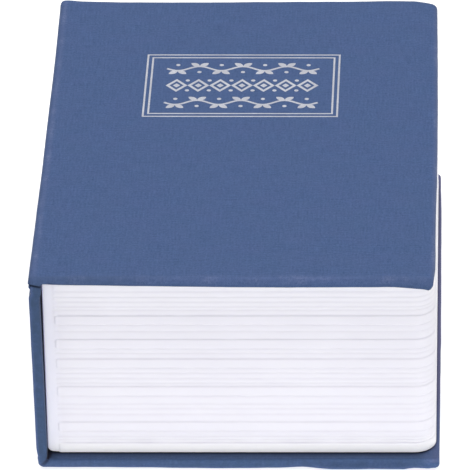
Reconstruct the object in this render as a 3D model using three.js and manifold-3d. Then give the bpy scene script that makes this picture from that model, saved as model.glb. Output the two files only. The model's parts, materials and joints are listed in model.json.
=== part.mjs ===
// Book-shaped cash safe, lying closed on its back cover.
// Millimetres, +Z up. X runs from the spine to the fore-edge, Y from the tail to the head.
// The origin is on the ground, under the middle of the case.

import * as THREE from 'three';
import { mergeVertices, toCreasedNormals } from 'three/addons/utils/BufferGeometryUtils.js';
import Module from 'manifold-3d';

const wasm = await Module();
wasm.setup();

// Case: two covers and a spine, cloth over board, lined with paper
const caseWidth = 80;
const caseLength = 115;
const caseHeight = 44;
const clothThickness = 0.4;
const boardThickness = 1.5;
const paperThickness = 0.3;
const turnIn = 4;
const spineFoldRadius = 1.3;
const clothEdgeRadius = 0.5;
const clothEndRadius = 0.3;
const caseCornerRadius = 1.2;
const coverGap = 0.3;

// Page block: moulded frame with page lines on three sides
const foreOverhang = 0.3;
const endOverhang = 2.3;
const blockWall = 1.8;
const rimWidth = 5.5;
const rimThickness = 1.8;
const rimChamfer = 0.5;
const skirtWall = 1.5;
const foreCornerRadius = 4.2;
const spineCornerRadius = 1.8;
const pageMargin = 0.4;
const wellCornerRadius = 2.5;
const bandProud = 0.45;
const bandHeight = 2.3;
const bandRoot = 0.6;
const grooveWidth = 0.4;
const grooveDepth = 0.2;
const ribThickness = 1.2;
const ribPitch = 22;
const bossRadius = 2.6;
const bossDepth = 6.3;
const bossWallOffset = 1.2;

// Middles of the raised bands and of the fine grooves between them, from the block's foot up
const bandLevels = [1.15, 5.9, 14.1, 20.6, 25.15, 30.55];
const grooveLevels = [2.85, 3.6, 8.8, 10, 11, 15.85, 17.2, 18.3, 22.95, 27.95, 32.95, 33.75, 34.9, 36.1, 37.25];

// Cash tray: sheet-steel box with an outward flange
const sheet = 0.8;
const trayInset = 2;
const trayCornerRadius = 3;
const trayFloorRadius = 1.6;
const flangeGap = 0.35;
const seatGap = 0.3;

// Lid and its rolled hinge
const lidGap = 0.6;
const lidEdgeRadius = 1.2;
const hingeWallGap = 0.5;
const hingeTopGap = 0.1;
const hingeEndMargin = 5;
const knuckleRadius = 1.8;
const knuckleCount = 5;
const knuckleGap = 0.3;
const curlOpening = THREE.MathUtils.degToRad(75);
const pinHeadRadius = 1.3;
const pinHeadThickness = 0.5;

// Cam lock
const lockSetback = 12.4;
const faceRadius = 7.5;
const faceThickness = 1.8;
const faceRounding = 0.8;
const barrelRadius = 6;
const barrelFlats = 10;
const barrelLength = 9.4;
const plugRadius = 4.2;
const plugHeadRadius = 5;
const plugHeadThickness = 0.9;
const plugHeadRecess = 0.1;
const keywayWidth = 1.6;
const keywayHeight = 6.4;
const keywayDepth = 6;
const tailSquare = 4.6;
const washerRadius = 8.5;
const washerThickness = 0.6;
const nutAcrossFlats = 16;
const nutThickness = 3;
const stopThickness = 0.8;
const stopTabWidth = 2.4;
const stopTabHeight = 1.3;
const stopTabThickness = 0.9;
const lockTurn = Math.PI / 2;
const camThickness = 1.2;
const camHubRadius = 5.5;
const camTipWidth = 7;
const camThrow = 2.6;
const camSlotClearance = 0.6;
const camWasherRadius = 3.4;
const camWasherThickness = 0.5;

// Screws
const camScrewRadius = 1.3;
const camScrewLength = 5;
const camScrewHeadRadius = 2.6;
const camScrewHeadThickness = 1.4;
const trayScrewRadius = 1;
const trayScrewLength = 4.2;
const trayScrewHeadRadius = 1.6;
const trayScrewHeadThickness = 1.1;
const screwHeadChamfer = 0.5;
const driveArm = 1.1;
const driveWidth = 0.6;
const driveDepth = 0.6;

// Clearance round everything that turns or passes through a hole
const clearance = 0.3;

// Roundness: straight pieces in a quarter turn, and coordinates' rounding so faces that meet agree
const quarterSteps = 5;
const smallQuarterSteps = 3;
const roundSteps = 32;
const smallRoundSteps = 16;
const coordinateGrid = 1e-4;
const creaseAngle = Math.PI / 5;
const beyond = 1;

// Worked-out places: case
const slab = clothThickness + boardThickness + paperThickness;
const boardCornerRadius = spineFoldRadius - clothThickness;
const spineX = -caseWidth / 2;
const foreX = caseWidth / 2;
const headY = caseLength / 2;
const coverZ = caseHeight - slab;
const spineTopZ = coverZ - coverGap;

// Worked-out places: page block, glued to the linings of spine and back
const blockSpineX = spineX + slab;
const blockForeX = foreX - foreOverhang;
const blockEndY = headY - endOverhang;
const blockFootZ = slab;
const blockTopZ = spineTopZ;
const pageForeX = blockForeX - bandProud;
const pageStartX = blockSpineX + spineCornerRadius + pageMargin;
const pageEndY = blockEndY - bandProud;
const innerSpineX = blockSpineX + blockWall;
const innerForeX = pageForeX - blockWall;
const innerEndY = pageEndY - blockWall;
const rimFootZ = blockTopZ - rimThickness;
const wellSpineX = blockSpineX + rimWidth;
const wellForeX = blockForeX - rimWidth;
const wellEndY = blockEndY - rimWidth;
const wellCentreX = (wellSpineX + wellForeX) / 2;

// Worked-out places: tray, hinge and lid
const trayTopZ = blockTopZ - bossDepth;
const trayFloorZ = slab + seatGap;
const skirtFootZ = trayTopZ + seatGap;
const hingeX = wellSpineX + hingeWallGap + knuckleRadius;
const hingeZ = blockTopZ - hingeTopGap - knuckleRadius;
const knuckleBore = knuckleRadius - sheet;
const pinRadius = knuckleBore - clearance;
const hingeEndY = wellEndY - hingeEndMargin;
const traySpineX = hingeX - knuckleRadius;
const trayForeX = wellForeX - trayInset;
const trayEndY = wellEndY - trayInset;
const lidSpineX = hingeX + knuckleRadius + clearance;
const lidForeX = wellForeX - lidGap;
const lidEndY = wellEndY - lidGap;
const lidTopZ = hingeZ - knuckleRadius + sheet;
const lidFootZ = trayTopZ + seatGap;

// Worked-out places: lock, in the lock's own frame with z = 0 on the lid's top face
const lockX = trayForeX - lockSetback;
const boreRadius = plugRadius + clearance;
const plugTopZ = faceThickness - plugHeadRecess;
const plugHeadFootZ = plugTopZ - plugHeadThickness;
const barrelFootZ = -barrelLength;
const plugFootZ = barrelFootZ - clearance;
const stopFootZ = plugFootZ - stopThickness;
const camFootZ = stopFootZ - camThickness;
const camWasherFootZ = camFootZ - camWasherThickness;
const tailFootZ = camFootZ + clearance;
const camLength = lockSetback + camThrow;

const corners = [[1, 1], [1, -1], [-1, 1], [-1, -1]];
const bossSpineX = wellSpineX - bossWallOffset;
const bossForeX = wellForeX + bossWallOffset;
const bossEndY = wellEndY + bossWallOffset;

const materials = {
  cloth: new THREE.MeshStandardMaterial({ color: 0x51668f, roughness: 0.85, metalness: 0 }),
  greyboard: new THREE.MeshStandardMaterial({ color: 0x9a948a, roughness: 0.9, metalness: 0 }),
  paper: new THREE.MeshStandardMaterial({ color: 0xe9e7e0, roughness: 0.8, metalness: 0 }),
  pages: new THREE.MeshStandardMaterial({ color: 0xf1f0f6, roughness: 0.35, metalness: 0 }),
  blackSteel: new THREE.MeshStandardMaterial({ color: 0x1b1c1f, roughness: 0.5, metalness: 0.3 }),
  chrome: new THREE.MeshStandardMaterial({ color: 0xd0d2d6, roughness: 0.15, metalness: 1 }),
  steel: new THREE.MeshStandardMaterial({ color: 0xa7a9ac, roughness: 0.35, metalness: 1 })
};

// A closed three.js geometry as a solid that can be cut and joined
function solid(geometry) {
  const bare = geometry.clone();
  bare.deleteAttribute('normal');
  bare.deleteAttribute('uv');
  const merged = mergeVertices(bare);
  const source = merged.index.array;
  const triangles = [];
  for (let i = 0; i < source.length; i += 3) {
    const [a, b, c] = [source[i], source[i + 1], source[i + 2]];
    if (a !== b && b !== c && c !== a) triangles.push(a, b, c);
  }
  return new wasm.Manifold(new wasm.Mesh({
    numProp: 3,
    vertProperties: new Float32Array(merged.attributes.position.array),
    triVerts: new Uint32Array(triangles)
  }));
}

function geometryOf(body) {
  const mesh = body.getMesh();
  const onGrid = value => Math.round(value / coordinateGrid) * coordinateGrid;
  const positions = Array.from(mesh.vertProperties, onGrid);
  const geometry = new THREE.BufferGeometry();
  geometry.setAttribute('position', new THREE.Float32BufferAttribute(positions, 3));
  geometry.setIndex(Array.from(mesh.triVerts));
  return toCreasedNormals(geometry, creaseAngle);
}

function part(name, body, material) {
  const mesh = new THREE.Mesh(geometryOf(body), material);
  mesh.name = name;
  return mesh;
}

function joined(bodies) {
  return bodies.reduce((sum, body) => sum.add(body));
}

function box([x0, x1], [y0, y1], [z0, z1]) {
  const geometry = new THREE.BoxGeometry(x1 - x0, y1 - y0, z1 - z0);
  geometry.translate((x0 + x1) / 2, (y0 + y1) / 2, (z0 + z1) / 2);
  return solid(geometry);
}

// Rectangle with its own radius at the low-x and high-x corners
function roundedRectangle([x0, x1], [y0, y1], lowRadius, highRadius = lowRadius) {
  const shape = new THREE.Shape();
  const quarter = Math.PI / 2;
  shape.moveTo(x0 + lowRadius, y0);
  shape.absarc(x1 - highRadius, y0 + highRadius, highRadius, -quarter, 0);
  shape.absarc(x1 - highRadius, y1 - highRadius, highRadius, 0, quarter);
  shape.absarc(x0 + lowRadius, y1 - lowRadius, lowRadius, quarter, 2 * quarter);
  shape.absarc(x0 + lowRadius, y0 + lowRadius, lowRadius, 2 * quarter, 3 * quarter);
  return shape;
}

// Outline pushed along z, with rounded top and bottom edges when an edge radius is given
function prism(shape, [z0, z1], edgeRadius = 0) {
  const geometry = new THREE.ExtrudeGeometry(shape, {
    depth: z1 - z0 - 2 * edgeRadius,
    curveSegments: quarterSteps,
    bevelEnabled: edgeRadius > 0,
    bevelThickness: edgeRadius,
    bevelSize: edgeRadius,
    bevelOffset: -edgeRadius,
    bevelSegments: smallQuarterSteps
  });
  geometry.translate(0, 0, z0 + edgeRadius);
  return solid(geometry);
}

// Outline drawn in x and z, pushed along y
function prismAlongY(shape, [y0, y1], edgeRadius = 0) {
  const geometry = new THREE.ExtrudeGeometry(shape, {
    depth: y1 - y0 - 2 * edgeRadius,
    curveSegments: quarterSteps,
    bevelEnabled: edgeRadius > 0,
    bevelThickness: edgeRadius,
    bevelSize: edgeRadius,
    bevelOffset: -edgeRadius,
    bevelSegments: smallQuarterSteps
  });
  geometry.rotateX(Math.PI / 2);
  geometry.translate(0, y1 - edgeRadius, 0);
  return solid(geometry);
}

function cylinder(radius, [z0, z1], [x, y] = [0, 0], steps = roundSteps) {
  const geometry = new THREE.CylinderGeometry(radius, radius, z1 - z0, steps);
  geometry.rotateX(Math.PI / 2);
  geometry.translate(x, y, (z0 + z1) / 2);
  return solid(geometry);
}

function cylinderAlongY(radius, [y0, y1], [x, z], steps = smallRoundSteps) {
  const geometry = new THREE.CylinderGeometry(radius, radius, y1 - y0, steps);
  geometry.translate(x, (y0 + y1) / 2, z);
  return solid(geometry);
}

// Profile of [radius, height] points turned about z
function turned(profile, steps = roundSteps) {
  const points = profile.map(([radius, height]) => new THREE.Vector2(radius, height));
  const geometry = new THREE.LatheGeometry(points, steps);
  geometry.rotateX(Math.PI / 2);
  return solid(geometry);
}

// Skin over closed rings of points, each ring counter-clockwise seen from the last one
function loft(rings) {
  const count = rings[0].length;
  const last = (rings.length - 1) * count;
  const index = [];
  for (let ring = 0; ring + 1 < rings.length; ring += 1) {
    for (let i = 0; i < count; i += 1) {
      const a = ring * count + i;
      const b = ring * count + (i + 1) % count;
      index.push(a, b, b + count, a, b + count, a + count);
    }
  }
  for (let i = 1; i + 1 < count; i += 1) {
    index.push(0, i + 1, i, last, last + i, last + i + 1);
  }
  const geometry = new THREE.BufferGeometry();
  geometry.setAttribute('position', new THREE.Float32BufferAttribute(rings.flat(2), 3));
  geometry.setIndex(index);
  return solid(geometry);
}

// Cross recess for a screwdriver, cut upwards into a head whose face is at z = faceZ
function driveRecess(faceZ) {
  const half = driveWidth / 2;
  const depth = [faceZ - beyond, faceZ + driveDepth];
  const across = box([-driveArm, driveArm], [-half, half], depth);
  return across.add(box([-half, half], [-driveArm, driveArm], depth));
}

// Screw with its head down: the head's seat is at z = 0 and the shank points up
function screw(radius, length, headRadius, headThickness) {
  const body = turned([
    [0, -headThickness],
    [headRadius - screwHeadChamfer, -headThickness],
    [headRadius, screwHeadChamfer - headThickness],
    [headRadius, 0],
    [radius, 0],
    [radius, length - radius / 2],
    [radius / 2, length],
    [0, length]
  ], smallRoundSteps);
  return body.subtract(driveRecess(-headThickness));
}

// Case

// Outer corner of the case where spine and back meet, shared by both boards as a mitre
function boardMitre() {
  const reach = boardCornerRadius * Math.SQRT1_2;
  return [spineX + spineFoldRadius - reach, spineFoldRadius - reach];
}

function backBoard() {
  const [mitreX, mitreZ] = boardMitre();
  const shape = new THREE.Shape();
  shape.moveTo(mitreX, mitreZ);
  shape.absarc(spineX + spineFoldRadius, spineFoldRadius, boardCornerRadius, 1.25 * Math.PI, 1.5 * Math.PI);
  shape.lineTo(foreX - clothThickness, clothThickness);
  shape.lineTo(foreX - clothThickness, clothThickness + boardThickness);
  shape.lineTo(spineX + clothThickness + boardThickness, clothThickness + boardThickness);
  return prismAlongY(shape, [clothThickness - headY, headY - clothThickness]);
}

function spineBoard() {
  const [mitreX, mitreZ] = boardMitre();
  const shape = new THREE.Shape();
  shape.moveTo(mitreX, mitreZ);
  shape.lineTo(spineX + clothThickness + boardThickness, clothThickness + boardThickness);
  shape.lineTo(spineX + clothThickness + boardThickness, spineTopZ - clothThickness);
  shape.lineTo(spineX + clothThickness, spineTopZ - clothThickness);
  shape.absarc(spineX + spineFoldRadius, spineFoldRadius, boardCornerRadius, Math.PI, 1.25 * Math.PI);
  return prismAlongY(shape, [clothThickness - headY, headY - clothThickness]);
}

function frontBoard() {
  return box(
    [spineX + clothThickness, foreX - clothThickness],
    [clothThickness - headY, headY - clothThickness],
    [coverZ + paperThickness, coverZ + paperThickness + boardThickness]
  );
}

function frontEndpaper() {
  return box(
    [spineX + turnIn, foreX - turnIn],
    [turnIn - headY, headY - turnIn],
    [coverZ, coverZ + paperThickness]
  );
}

function backEndpaper() {
  return box(
    [spineX + clothThickness + boardThickness, foreX - turnIn],
    [turnIn - headY, headY - turnIn],
    [clothThickness + boardThickness, slab]
  );
}

function spineLining() {
  return box(
    [spineX + clothThickness + boardThickness, spineX + slab],
    [turnIn - headY, headY - turnIn],
    [slab, spineTopZ - turnIn]
  );
}

// Spine and back in one L-shaped section, rounded where the cloth folds
function caseOutline() {
  const r = clothEdgeRadius;
  const quarter = Math.PI / 2;
  const shape = new THREE.Shape();
  shape.moveTo(spineX + spineFoldRadius, 0);
  shape.absarc(foreX - r, r, r, -quarter, 0);
  shape.absarc(foreX - r, slab - r, r, 0, quarter);
  shape.lineTo(spineX + slab, slab);
  shape.absarc(spineX + slab - r, spineTopZ - r, r, 0, quarter);
  shape.absarc(spineX + r, spineTopZ - r, r, quarter, 2 * quarter);
  shape.absarc(spineX + spineFoldRadius, spineFoldRadius, spineFoldRadius, 2 * quarter, 3 * quarter);
  return shape;
}

function caseCorners([z0, z1]) {
  return prism(roundedRectangle([spineX, foreX], [-headY, headY], caseCornerRadius), [z0, z1]);
}

function caseCloth() {
  return prismAlongY(caseOutline(), [-headY, headY], clothEndRadius)
    .intersect(caseCorners([0, spineTopZ]))
    .subtract(backBoard())
    .subtract(spineBoard())
    .subtract(backEndpaper())
    .subtract(spineLining());
}

function frontCloth() {
  const outline = roundedRectangle([spineX, foreX], [-headY, headY], caseCornerRadius);
  return prism(outline, [coverZ, caseHeight], clothEdgeRadius)
    .subtract(frontBoard())
    .subtract(frontEndpaper());
}

// Page block

// Ring round the block at one height, with an offset for its page sides and one for its plain spine side
function blockRing(z, pageOffset, spineOffset) {
  const ring = [];
  const corner = (x, y, radius, start) => {
    for (let step = 0; step <= quarterSteps; step += 1) {
      const angle = start + (step / quarterSteps) * Math.PI / 2;
      ring.push([x + radius * Math.cos(angle), y + radius * Math.sin(angle), z]);
    }
  };
  const fore = foreCornerRadius;
  const spine = spineCornerRadius;
  corner(pageForeX - fore, fore - pageEndY, fore + pageOffset, -Math.PI / 2);
  corner(pageForeX - fore, pageEndY - fore, fore + pageOffset, 0);
  ring.push([pageStartX, pageEndY + pageOffset, z]);
  corner(blockSpineX + spine, pageEndY - spine, spine + spineOffset, Math.PI / 2);
  corner(blockSpineX + spine, spine - pageEndY, spine + spineOffset, Math.PI);
  ring.push([pageStartX, -pageEndY - pageOffset, z]);
  return ring;
}

function bandsThatFit() {
  const highest = rimFootZ - bandHeight / 2;
  return bandLevels.map(level => blockFootZ + level).filter(z => z < highest);
}

// Grooves that lie below the rim's chamfer and clear of the raised bands
function groovesThatFit() {
  const highest = blockTopZ - rimChamfer - grooveWidth / 2;
  const bandReach = (bandHeight + grooveWidth) / 2;
  return grooveLevels.map(level => blockFootZ + level)
    .filter(z => z < highest && bandsThatFit().every(band => Math.abs(z - band) > bandReach));
}

function pageBody() {
  const rings = [blockRing(blockFootZ, 0, 0)];
  let lastZ = blockFootZ;
  for (const z of groovesThatFit()) {
    rings.push(blockRing(Math.max(z - grooveWidth / 2, lastZ), 0, 0));
    rings.push(blockRing(z, -grooveDepth, 0));
    lastZ = z + grooveWidth / 2;
    rings.push(blockRing(lastZ, 0, 0));
  }
  rings.push(blockRing(blockTopZ - rimChamfer, 0, 0));
  rings.push(blockRing(blockTopZ, -rimChamfer, -rimChamfer));
  return loft(rings);
}

// Stations along a raised band: round end, tail, fore-edge, head and round end again
function bandStations() {
  const endRadius = bandHeight / 2;
  const cornerX = pageForeX - foreCornerRadius;
  const cornerY = pageEndY - foreCornerRadius;
  const half = [];
  const endSteps = quarterSteps;
  for (let step = 0; step <= endSteps; step += 1) {
    const angle = ((step + 0.5) / (endSteps + 0.5)) * Math.PI / 2;
    const x = pageStartX + endRadius * (1 - Math.cos(angle));
    half.push({ x, y: -pageEndY, nx: 0, ny: -1, swell: Math.sin(angle) });
  }
  for (let step = 0; step <= quarterSteps; step += 1) {
    const angle = (step / quarterSteps) * Math.PI / 2;
    const nx = Math.sin(angle);
    const ny = -Math.cos(angle);
    half.push({ x: cornerX + foreCornerRadius * nx, y: foreCornerRadius * ny - cornerY, nx, ny, swell: 1 });
  }
  const mirrored = half.map(({ x, y, nx, ny, swell }) => ({ x, y: -y, nx, ny: -ny, swell })).reverse();
  return [...half, ...mirrored];
}

// Section of a band as shares of its proud depth and half height, from its top root to its bottom root
const bandSection = [[0.7, 0.92], [1, 0.5], [1, -0.5], [0.7, -0.92]];

function pageBand(z) {
  return loft(bandStations().map(({ x, y, nx, ny, swell }) => {
    const proud = bandProud * Math.sqrt(swell);
    const half = (bandHeight / 2) * swell;
    const outline = bandSection.map(([out, up]) => [out * proud, up * half]);
    const section = [[-bandRoot, half], ...outline, [-bandRoot, -half]];
    return section.map(([out, up]) => [x + nx * out, y + ny * out, z + up]);
  }));
}

function wellOutline(grow = 0) {
  return roundedRectangle(
    [wellSpineX - grow, wellForeX + grow],
    [-wellEndY - grow, wellEndY + grow],
    wellCornerRadius + grow
  );
}

// Stiffening ribs between the skirt and the outer wall, under the rim
function rimRibs() {
  const ribs = [];
  const height = [skirtFootZ, rimFootZ + beyond];
  const across = side => (side > 0
    ? [wellForeX + skirtWall / 2, innerForeX + blockWall / 2]
    : [innerSpineX - blockWall / 2, wellSpineX - skirtWall / 2]);
  const endRun = [wellEndY + skirtWall / 2, innerEndY + blockWall / 2];
  const places = (half) => {
    const count = Math.floor((2 * half) / ribPitch);
    return Array.from({ length: count }, (_, i) => (i - (count - 1) / 2) * ribPitch);
  };
  for (const y of places(wellEndY)) {
    ribs.push(box(across(1), [y - ribThickness / 2, y + ribThickness / 2], height));
    ribs.push(box(across(-1), [y - ribThickness / 2, y + ribThickness / 2], height));
  }
  for (const x of places((wellForeX - wellSpineX) / 2)) {
    const run = [wellCentreX + x - ribThickness / 2, wellCentreX + x + ribThickness / 2];
    ribs.push(box(run, endRun, height));
    ribs.push(box(run, [-endRun[1], -endRun[0]], height));
  }
  return joined(ribs);
}

function bossPlaces() {
  return corners.map(([sideX, sideY]) => [sideX > 0 ? bossForeX : bossSpineX, sideY * bossEndY]);
}

function pageBlock() {
  const cavityOutline = roundedRectangle(
    [innerSpineX, innerForeX],
    [-innerEndY, innerEndY],
    spineCornerRadius / 2,
    foreCornerRadius - blockWall
  );
  const shell = joined([pageBody(), ...bandsThatFit().map(pageBand)])
    .subtract(prism(cavityOutline, [blockFootZ - beyond, rimFootZ]));
  const skirt = prism(wellOutline(skirtWall), [skirtFootZ, rimFootZ + beyond]);
  const bosses = bossPlaces().map(place => cylinder(bossRadius, [trayTopZ, rimFootZ + beyond], place));
  const screwHoles = bossPlaces().map(place => cylinder(
    trayScrewRadius + clearance,
    [trayTopZ - beyond, trayTopZ + trayScrewLength - sheet + clearance],
    place,
    smallRoundSteps
  ));
  return joined([shell, skirt, rimRibs(), ...bosses])
    .subtract(prism(wellOutline(), [trayTopZ - beyond, blockTopZ + beyond]))
    .subtract(joined(screwHoles));
}

// Hinge

// Runs of the knuckles along y; the even ones belong to the tray and the odd ones to the lid
function knuckleRuns() {
  const length = (2 * hingeEndY - (knuckleCount - 1) * knuckleGap) / knuckleCount;
  return Array.from({ length: knuckleCount }, (_, i) => {
    const start = -hingeEndY + i * (length + knuckleGap);
    return [start, start + length];
  });
}

const trayKnuckles = knuckleRuns().filter((_, i) => i % 2 === 0);
const lidKnuckles = knuckleRuns().filter((_, i) => i % 2 === 1);

// Sheet rolled round the pin: a leg that comes up on the spine side and curls over to its open end
function trayCurl() {
  const shape = new THREE.Shape();
  const legFootZ = trayTopZ - sheet;
  shape.moveTo(hingeX - knuckleRadius, legFootZ);
  shape.lineTo(hingeX - knuckleBore, legFootZ);
  shape.absarc(hingeX, hingeZ, knuckleBore, Math.PI, curlOpening - Math.PI, true);
  shape.absarc(hingeX, hingeZ, knuckleRadius, curlOpening - Math.PI, Math.PI, false);
  return shape;
}

// The lid's curl: a tongue that leaves the panel under the pin and rolls up round it
function lidCurl() {
  const shape = new THREE.Shape();
  const tongueX = lidSpineX + lidEdgeRadius;
  const quarter = Math.PI / 2;
  const end = curlOpening - quarter;
  shape.moveTo(tongueX, hingeZ - knuckleRadius);
  shape.lineTo(tongueX, hingeZ - knuckleBore);
  shape.absarc(hingeX, hingeZ, knuckleBore, -quarter, end, true);
  shape.absarc(hingeX, hingeZ, knuckleRadius, end, -quarter, false);
  return shape;
}

function hingePin() {
  const ends = hingeEndY + clearance;
  const axis = [hingeX, hingeZ];
  return joined([
    cylinderAlongY(pinRadius, [-ends, ends], axis),
    cylinderAlongY(pinHeadRadius, [ends, ends + pinHeadThickness], axis),
    cylinderAlongY(pinHeadRadius, [-ends - pinHeadThickness, -ends], axis)
  ]);
}

// Cash tray

function flangeOutline() {
  return roundedRectangle(
    [innerSpineX + flangeGap, innerForeX - flangeGap],
    [flangeGap - innerEndY, innerEndY - flangeGap],
    spineCornerRadius / 2,
    foreCornerRadius - blockWall
  );
}

// Slot where the turning cam passes through the tray's fore-edge wall
function camSlot() {
  const wallReach = trayForeX - sheet - lockX;
  const tipReach = Math.hypot(camLength, camTipWidth / 2);
  const sweep = Math.sqrt(tipReach ** 2 - wallReach ** 2);
  return box(
    [trayForeX - sheet - clearance, trayForeX + clearance],
    [-camTipWidth / 2 - camSlotClearance, sweep + camSlotClearance],
    [lidTopZ + camFootZ - camSlotClearance, lidTopZ + stopFootZ + camSlotClearance]
  );
}

function tray() {
  const outer = prism(
    roundedRectangle([traySpineX, trayForeX], [-trayEndY, trayEndY], trayCornerRadius),
    [trayFloorZ, trayTopZ + trayFloorRadius],
    trayFloorRadius
  );
  const innerX = [traySpineX + sheet, trayForeX - sheet];
  const innerY = [sheet - trayEndY, trayEndY - sheet];
  const inner = prism(
    roundedRectangle(innerX, innerY, trayCornerRadius - sheet),
    [trayFloorZ + sheet, trayTopZ + 2 * trayFloorRadius],
    trayFloorRadius - sheet
  );
  const above = box(
    [innerSpineX, innerForeX],
    [-innerEndY, innerEndY],
    [trayTopZ, trayTopZ + 2 * trayFloorRadius + beyond]
  );
  const flange = prism(flangeOutline(), [trayTopZ - sheet, trayTopZ]);
  const notches = trayKnuckles.map(([y0, y1]) => box(
    [innerSpineX, traySpineX],
    [y0 - clearance, y1 + clearance],
    [trayTopZ - sheet, trayTopZ]
  ));
  const screwHoles = bossPlaces().map(place => cylinder(
    trayScrewRadius + clearance,
    [trayTopZ - sheet - beyond, trayTopZ + beyond],
    place,
    smallRoundSteps
  ));
  const pan = outer.subtract(above).add(flange).subtract(inner)
    .subtract(joined([...notches, ...screwHoles, camSlot()]));
  return joined([pan, ...trayKnuckles.map(run => prismAlongY(trayCurl(), run))]);
}

// Lid

// Hole for a round barrel with two flats
function barrelHole(height) {
  const half = barrelFlats / 2 + clearance;
  const round = cylinder(barrelRadius + clearance, height, [lockX, 0]);
  return round.intersect(box([lockX - 2 * barrelRadius, lockX + 2 * barrelRadius], [-half, half], height));
}

function lid() {
  const startX = lidSpineX - trayCornerRadius - lidEdgeRadius;
  const outer = prism(
    roundedRectangle([startX, lidForeX], [-lidEndY, lidEndY], wellCornerRadius - lidGap),
    [lidFootZ - 2 * lidEdgeRadius, lidTopZ],
    lidEdgeRadius
  );
  const innerX = [startX + sheet, lidForeX - sheet];
  const innerY = [sheet - lidEndY, lidEndY - sheet];
  const inner = prism(
    roundedRectangle(innerX, innerY, wellCornerRadius - lidGap - sheet),
    [lidFootZ - 3 * lidEdgeRadius, lidTopZ - sheet],
    lidEdgeRadius - sheet
  );
  const wasteFootZ = lidFootZ - 4 * lidEdgeRadius;
  const waste = joined([
    box([startX - beyond, lidForeX + beyond], [-wellEndY, wellEndY], [wasteFootZ, lidFootZ]),
    box([startX - beyond, lidSpineX], [-wellEndY, wellEndY], [wasteFootZ, lidTopZ + beyond])
  ]);
  const panel = outer.subtract(inner).subtract(waste).subtract(barrelHole([lidFootZ, lidTopZ + beyond]));
  return joined([panel, ...lidKnuckles.map(run => prismAlongY(lidCurl(), run))]);
}

// Cam lock, in its own frame

function lockBarrel() {
  const body = turned([
    [boreRadius, barrelFootZ],
    [barrelRadius, barrelFootZ],
    [barrelRadius, 0],
    [faceRadius, 0],
    [faceRadius, faceThickness - faceRounding],
    [faceRadius - faceRounding / 3, faceThickness - faceRounding / 3],
    [faceRadius - faceRounding, faceThickness],
    [plugHeadRadius + clearance, faceThickness],
    [plugHeadRadius + clearance, plugHeadFootZ - clearance],
    [boreRadius, plugHeadFootZ - clearance],
    [boreRadius, barrelFootZ]
  ]);
  const flat = side => box(
    [-faceRadius, faceRadius],
    side > 0 ? [barrelFlats / 2, faceRadius] : [-faceRadius, -barrelFlats / 2],
    [barrelFootZ - beyond, 0]
  );
  return body.subtract(flat(1)).subtract(flat(-1)).subtract(stopNotch());
}

// Sector cut in the barrel's foot, as wide as the quarter turn and the tab that runs in it
function stopNotch() {
  const tabRadius = (boreRadius + barrelRadius) / 2;
  const halfAngle = lockTurn / 2 + Math.atan((stopTabWidth / 2 + clearance) / tabRadius);
  const reach = faceRadius + beyond;
  const shape = new THREE.Shape();
  shape.absarc(0, 0, reach, -halfAngle, halfAngle);
  shape.lineTo(0, 0);
  return prism(shape, [barrelFootZ - beyond, barrelFootZ + stopTabHeight]);
}

function lockPlug() {
  const body = turned([
    [0, plugFootZ],
    [plugRadius, plugFootZ],
    [plugRadius, plugHeadFootZ],
    [plugHeadRadius, plugHeadFootZ],
    [plugHeadRadius, plugTopZ],
    [0, plugTopZ]
  ]);
  const half = tailSquare / 2;
  const tail = box([-half, half], [-half, half], [tailFootZ, plugFootZ + beyond]);
  const keyway = box(
    [-keywayWidth / 2, keywayWidth / 2],
    [-keywayHeight / 2, keywayHeight / 2],
    [plugTopZ - keywayDepth, plugTopZ + beyond]
  );
  const screwHole = cylinder(
    camScrewRadius + clearance,
    [camWasherFootZ - beyond, camWasherFootZ + camScrewLength + clearance],
    [0, 0],
    smallRoundSteps
  );
  return body.add(tail).subtract(keyway).subtract(screwHole);
}

function squareHole(height) {
  const half = tailSquare / 2 + clearance;
  return box([-half, half], [-half, half], height);
}

function lockWasher() {
  const height = [-sheet - washerThickness, -sheet];
  return cylinder(washerRadius, height)
    .subtract(cylinder(barrelRadius + clearance, [height[0] - beyond, height[1] + beyond]));
}

function lockNut() {
  const top = -sheet - washerThickness;
  const height = [top - nutThickness, top];
  return cylinder(nutAcrossFlats / Math.sqrt(3), height, [0, 0], 6)
    .subtract(cylinder(barrelRadius + clearance, [height[0] - beyond, height[1] + beyond]));
}

// Washer whose bent-up tab runs in the barrel's notch; at rest the tab is an eighth turn from the x axis
function stopWasher() {
  const tabRadius = (boreRadius + barrelRadius) / 2;
  const tab = new THREE.BoxGeometry(stopTabThickness, stopTabWidth, stopThickness + stopTabHeight);
  tab.translate(tabRadius, 0, stopFootZ + (stopThickness + stopTabHeight) / 2);
  tab.rotateZ(lockTurn / 2);
  return cylinder(barrelRadius, [stopFootZ, plugFootZ]).add(solid(tab))
    .subtract(squareHole([stopFootZ - beyond, plugFootZ + beyond]));
}

// Flat cam that points to the head when the lock is open
function lockCam() {
  const half = camTipWidth / 2;
  const shape = new THREE.Shape();
  shape.absarc(0, 0, camHubRadius, Math.PI - Math.acos(half / camHubRadius), Math.acos(half / camHubRadius));
  shape.absarc(half / 2, camLength - half / 2, half / 2, 0, Math.PI / 2);
  shape.absarc(-half / 2, camLength - half / 2, half / 2, Math.PI / 2, Math.PI);
  return prism(shape, [camFootZ, stopFootZ]).subtract(squareHole([camFootZ - beyond, stopFootZ + beyond]));
}

function camWasher() {
  const hole = [camWasherFootZ - beyond, camFootZ + beyond];
  return cylinder(camWasherRadius, [camWasherFootZ, camFootZ])
    .subtract(cylinder(camScrewRadius + clearance, hole, [0, 0], smallRoundSteps));
}

// The assembly: each group moves as one
const safe = new THREE.Group();

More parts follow.
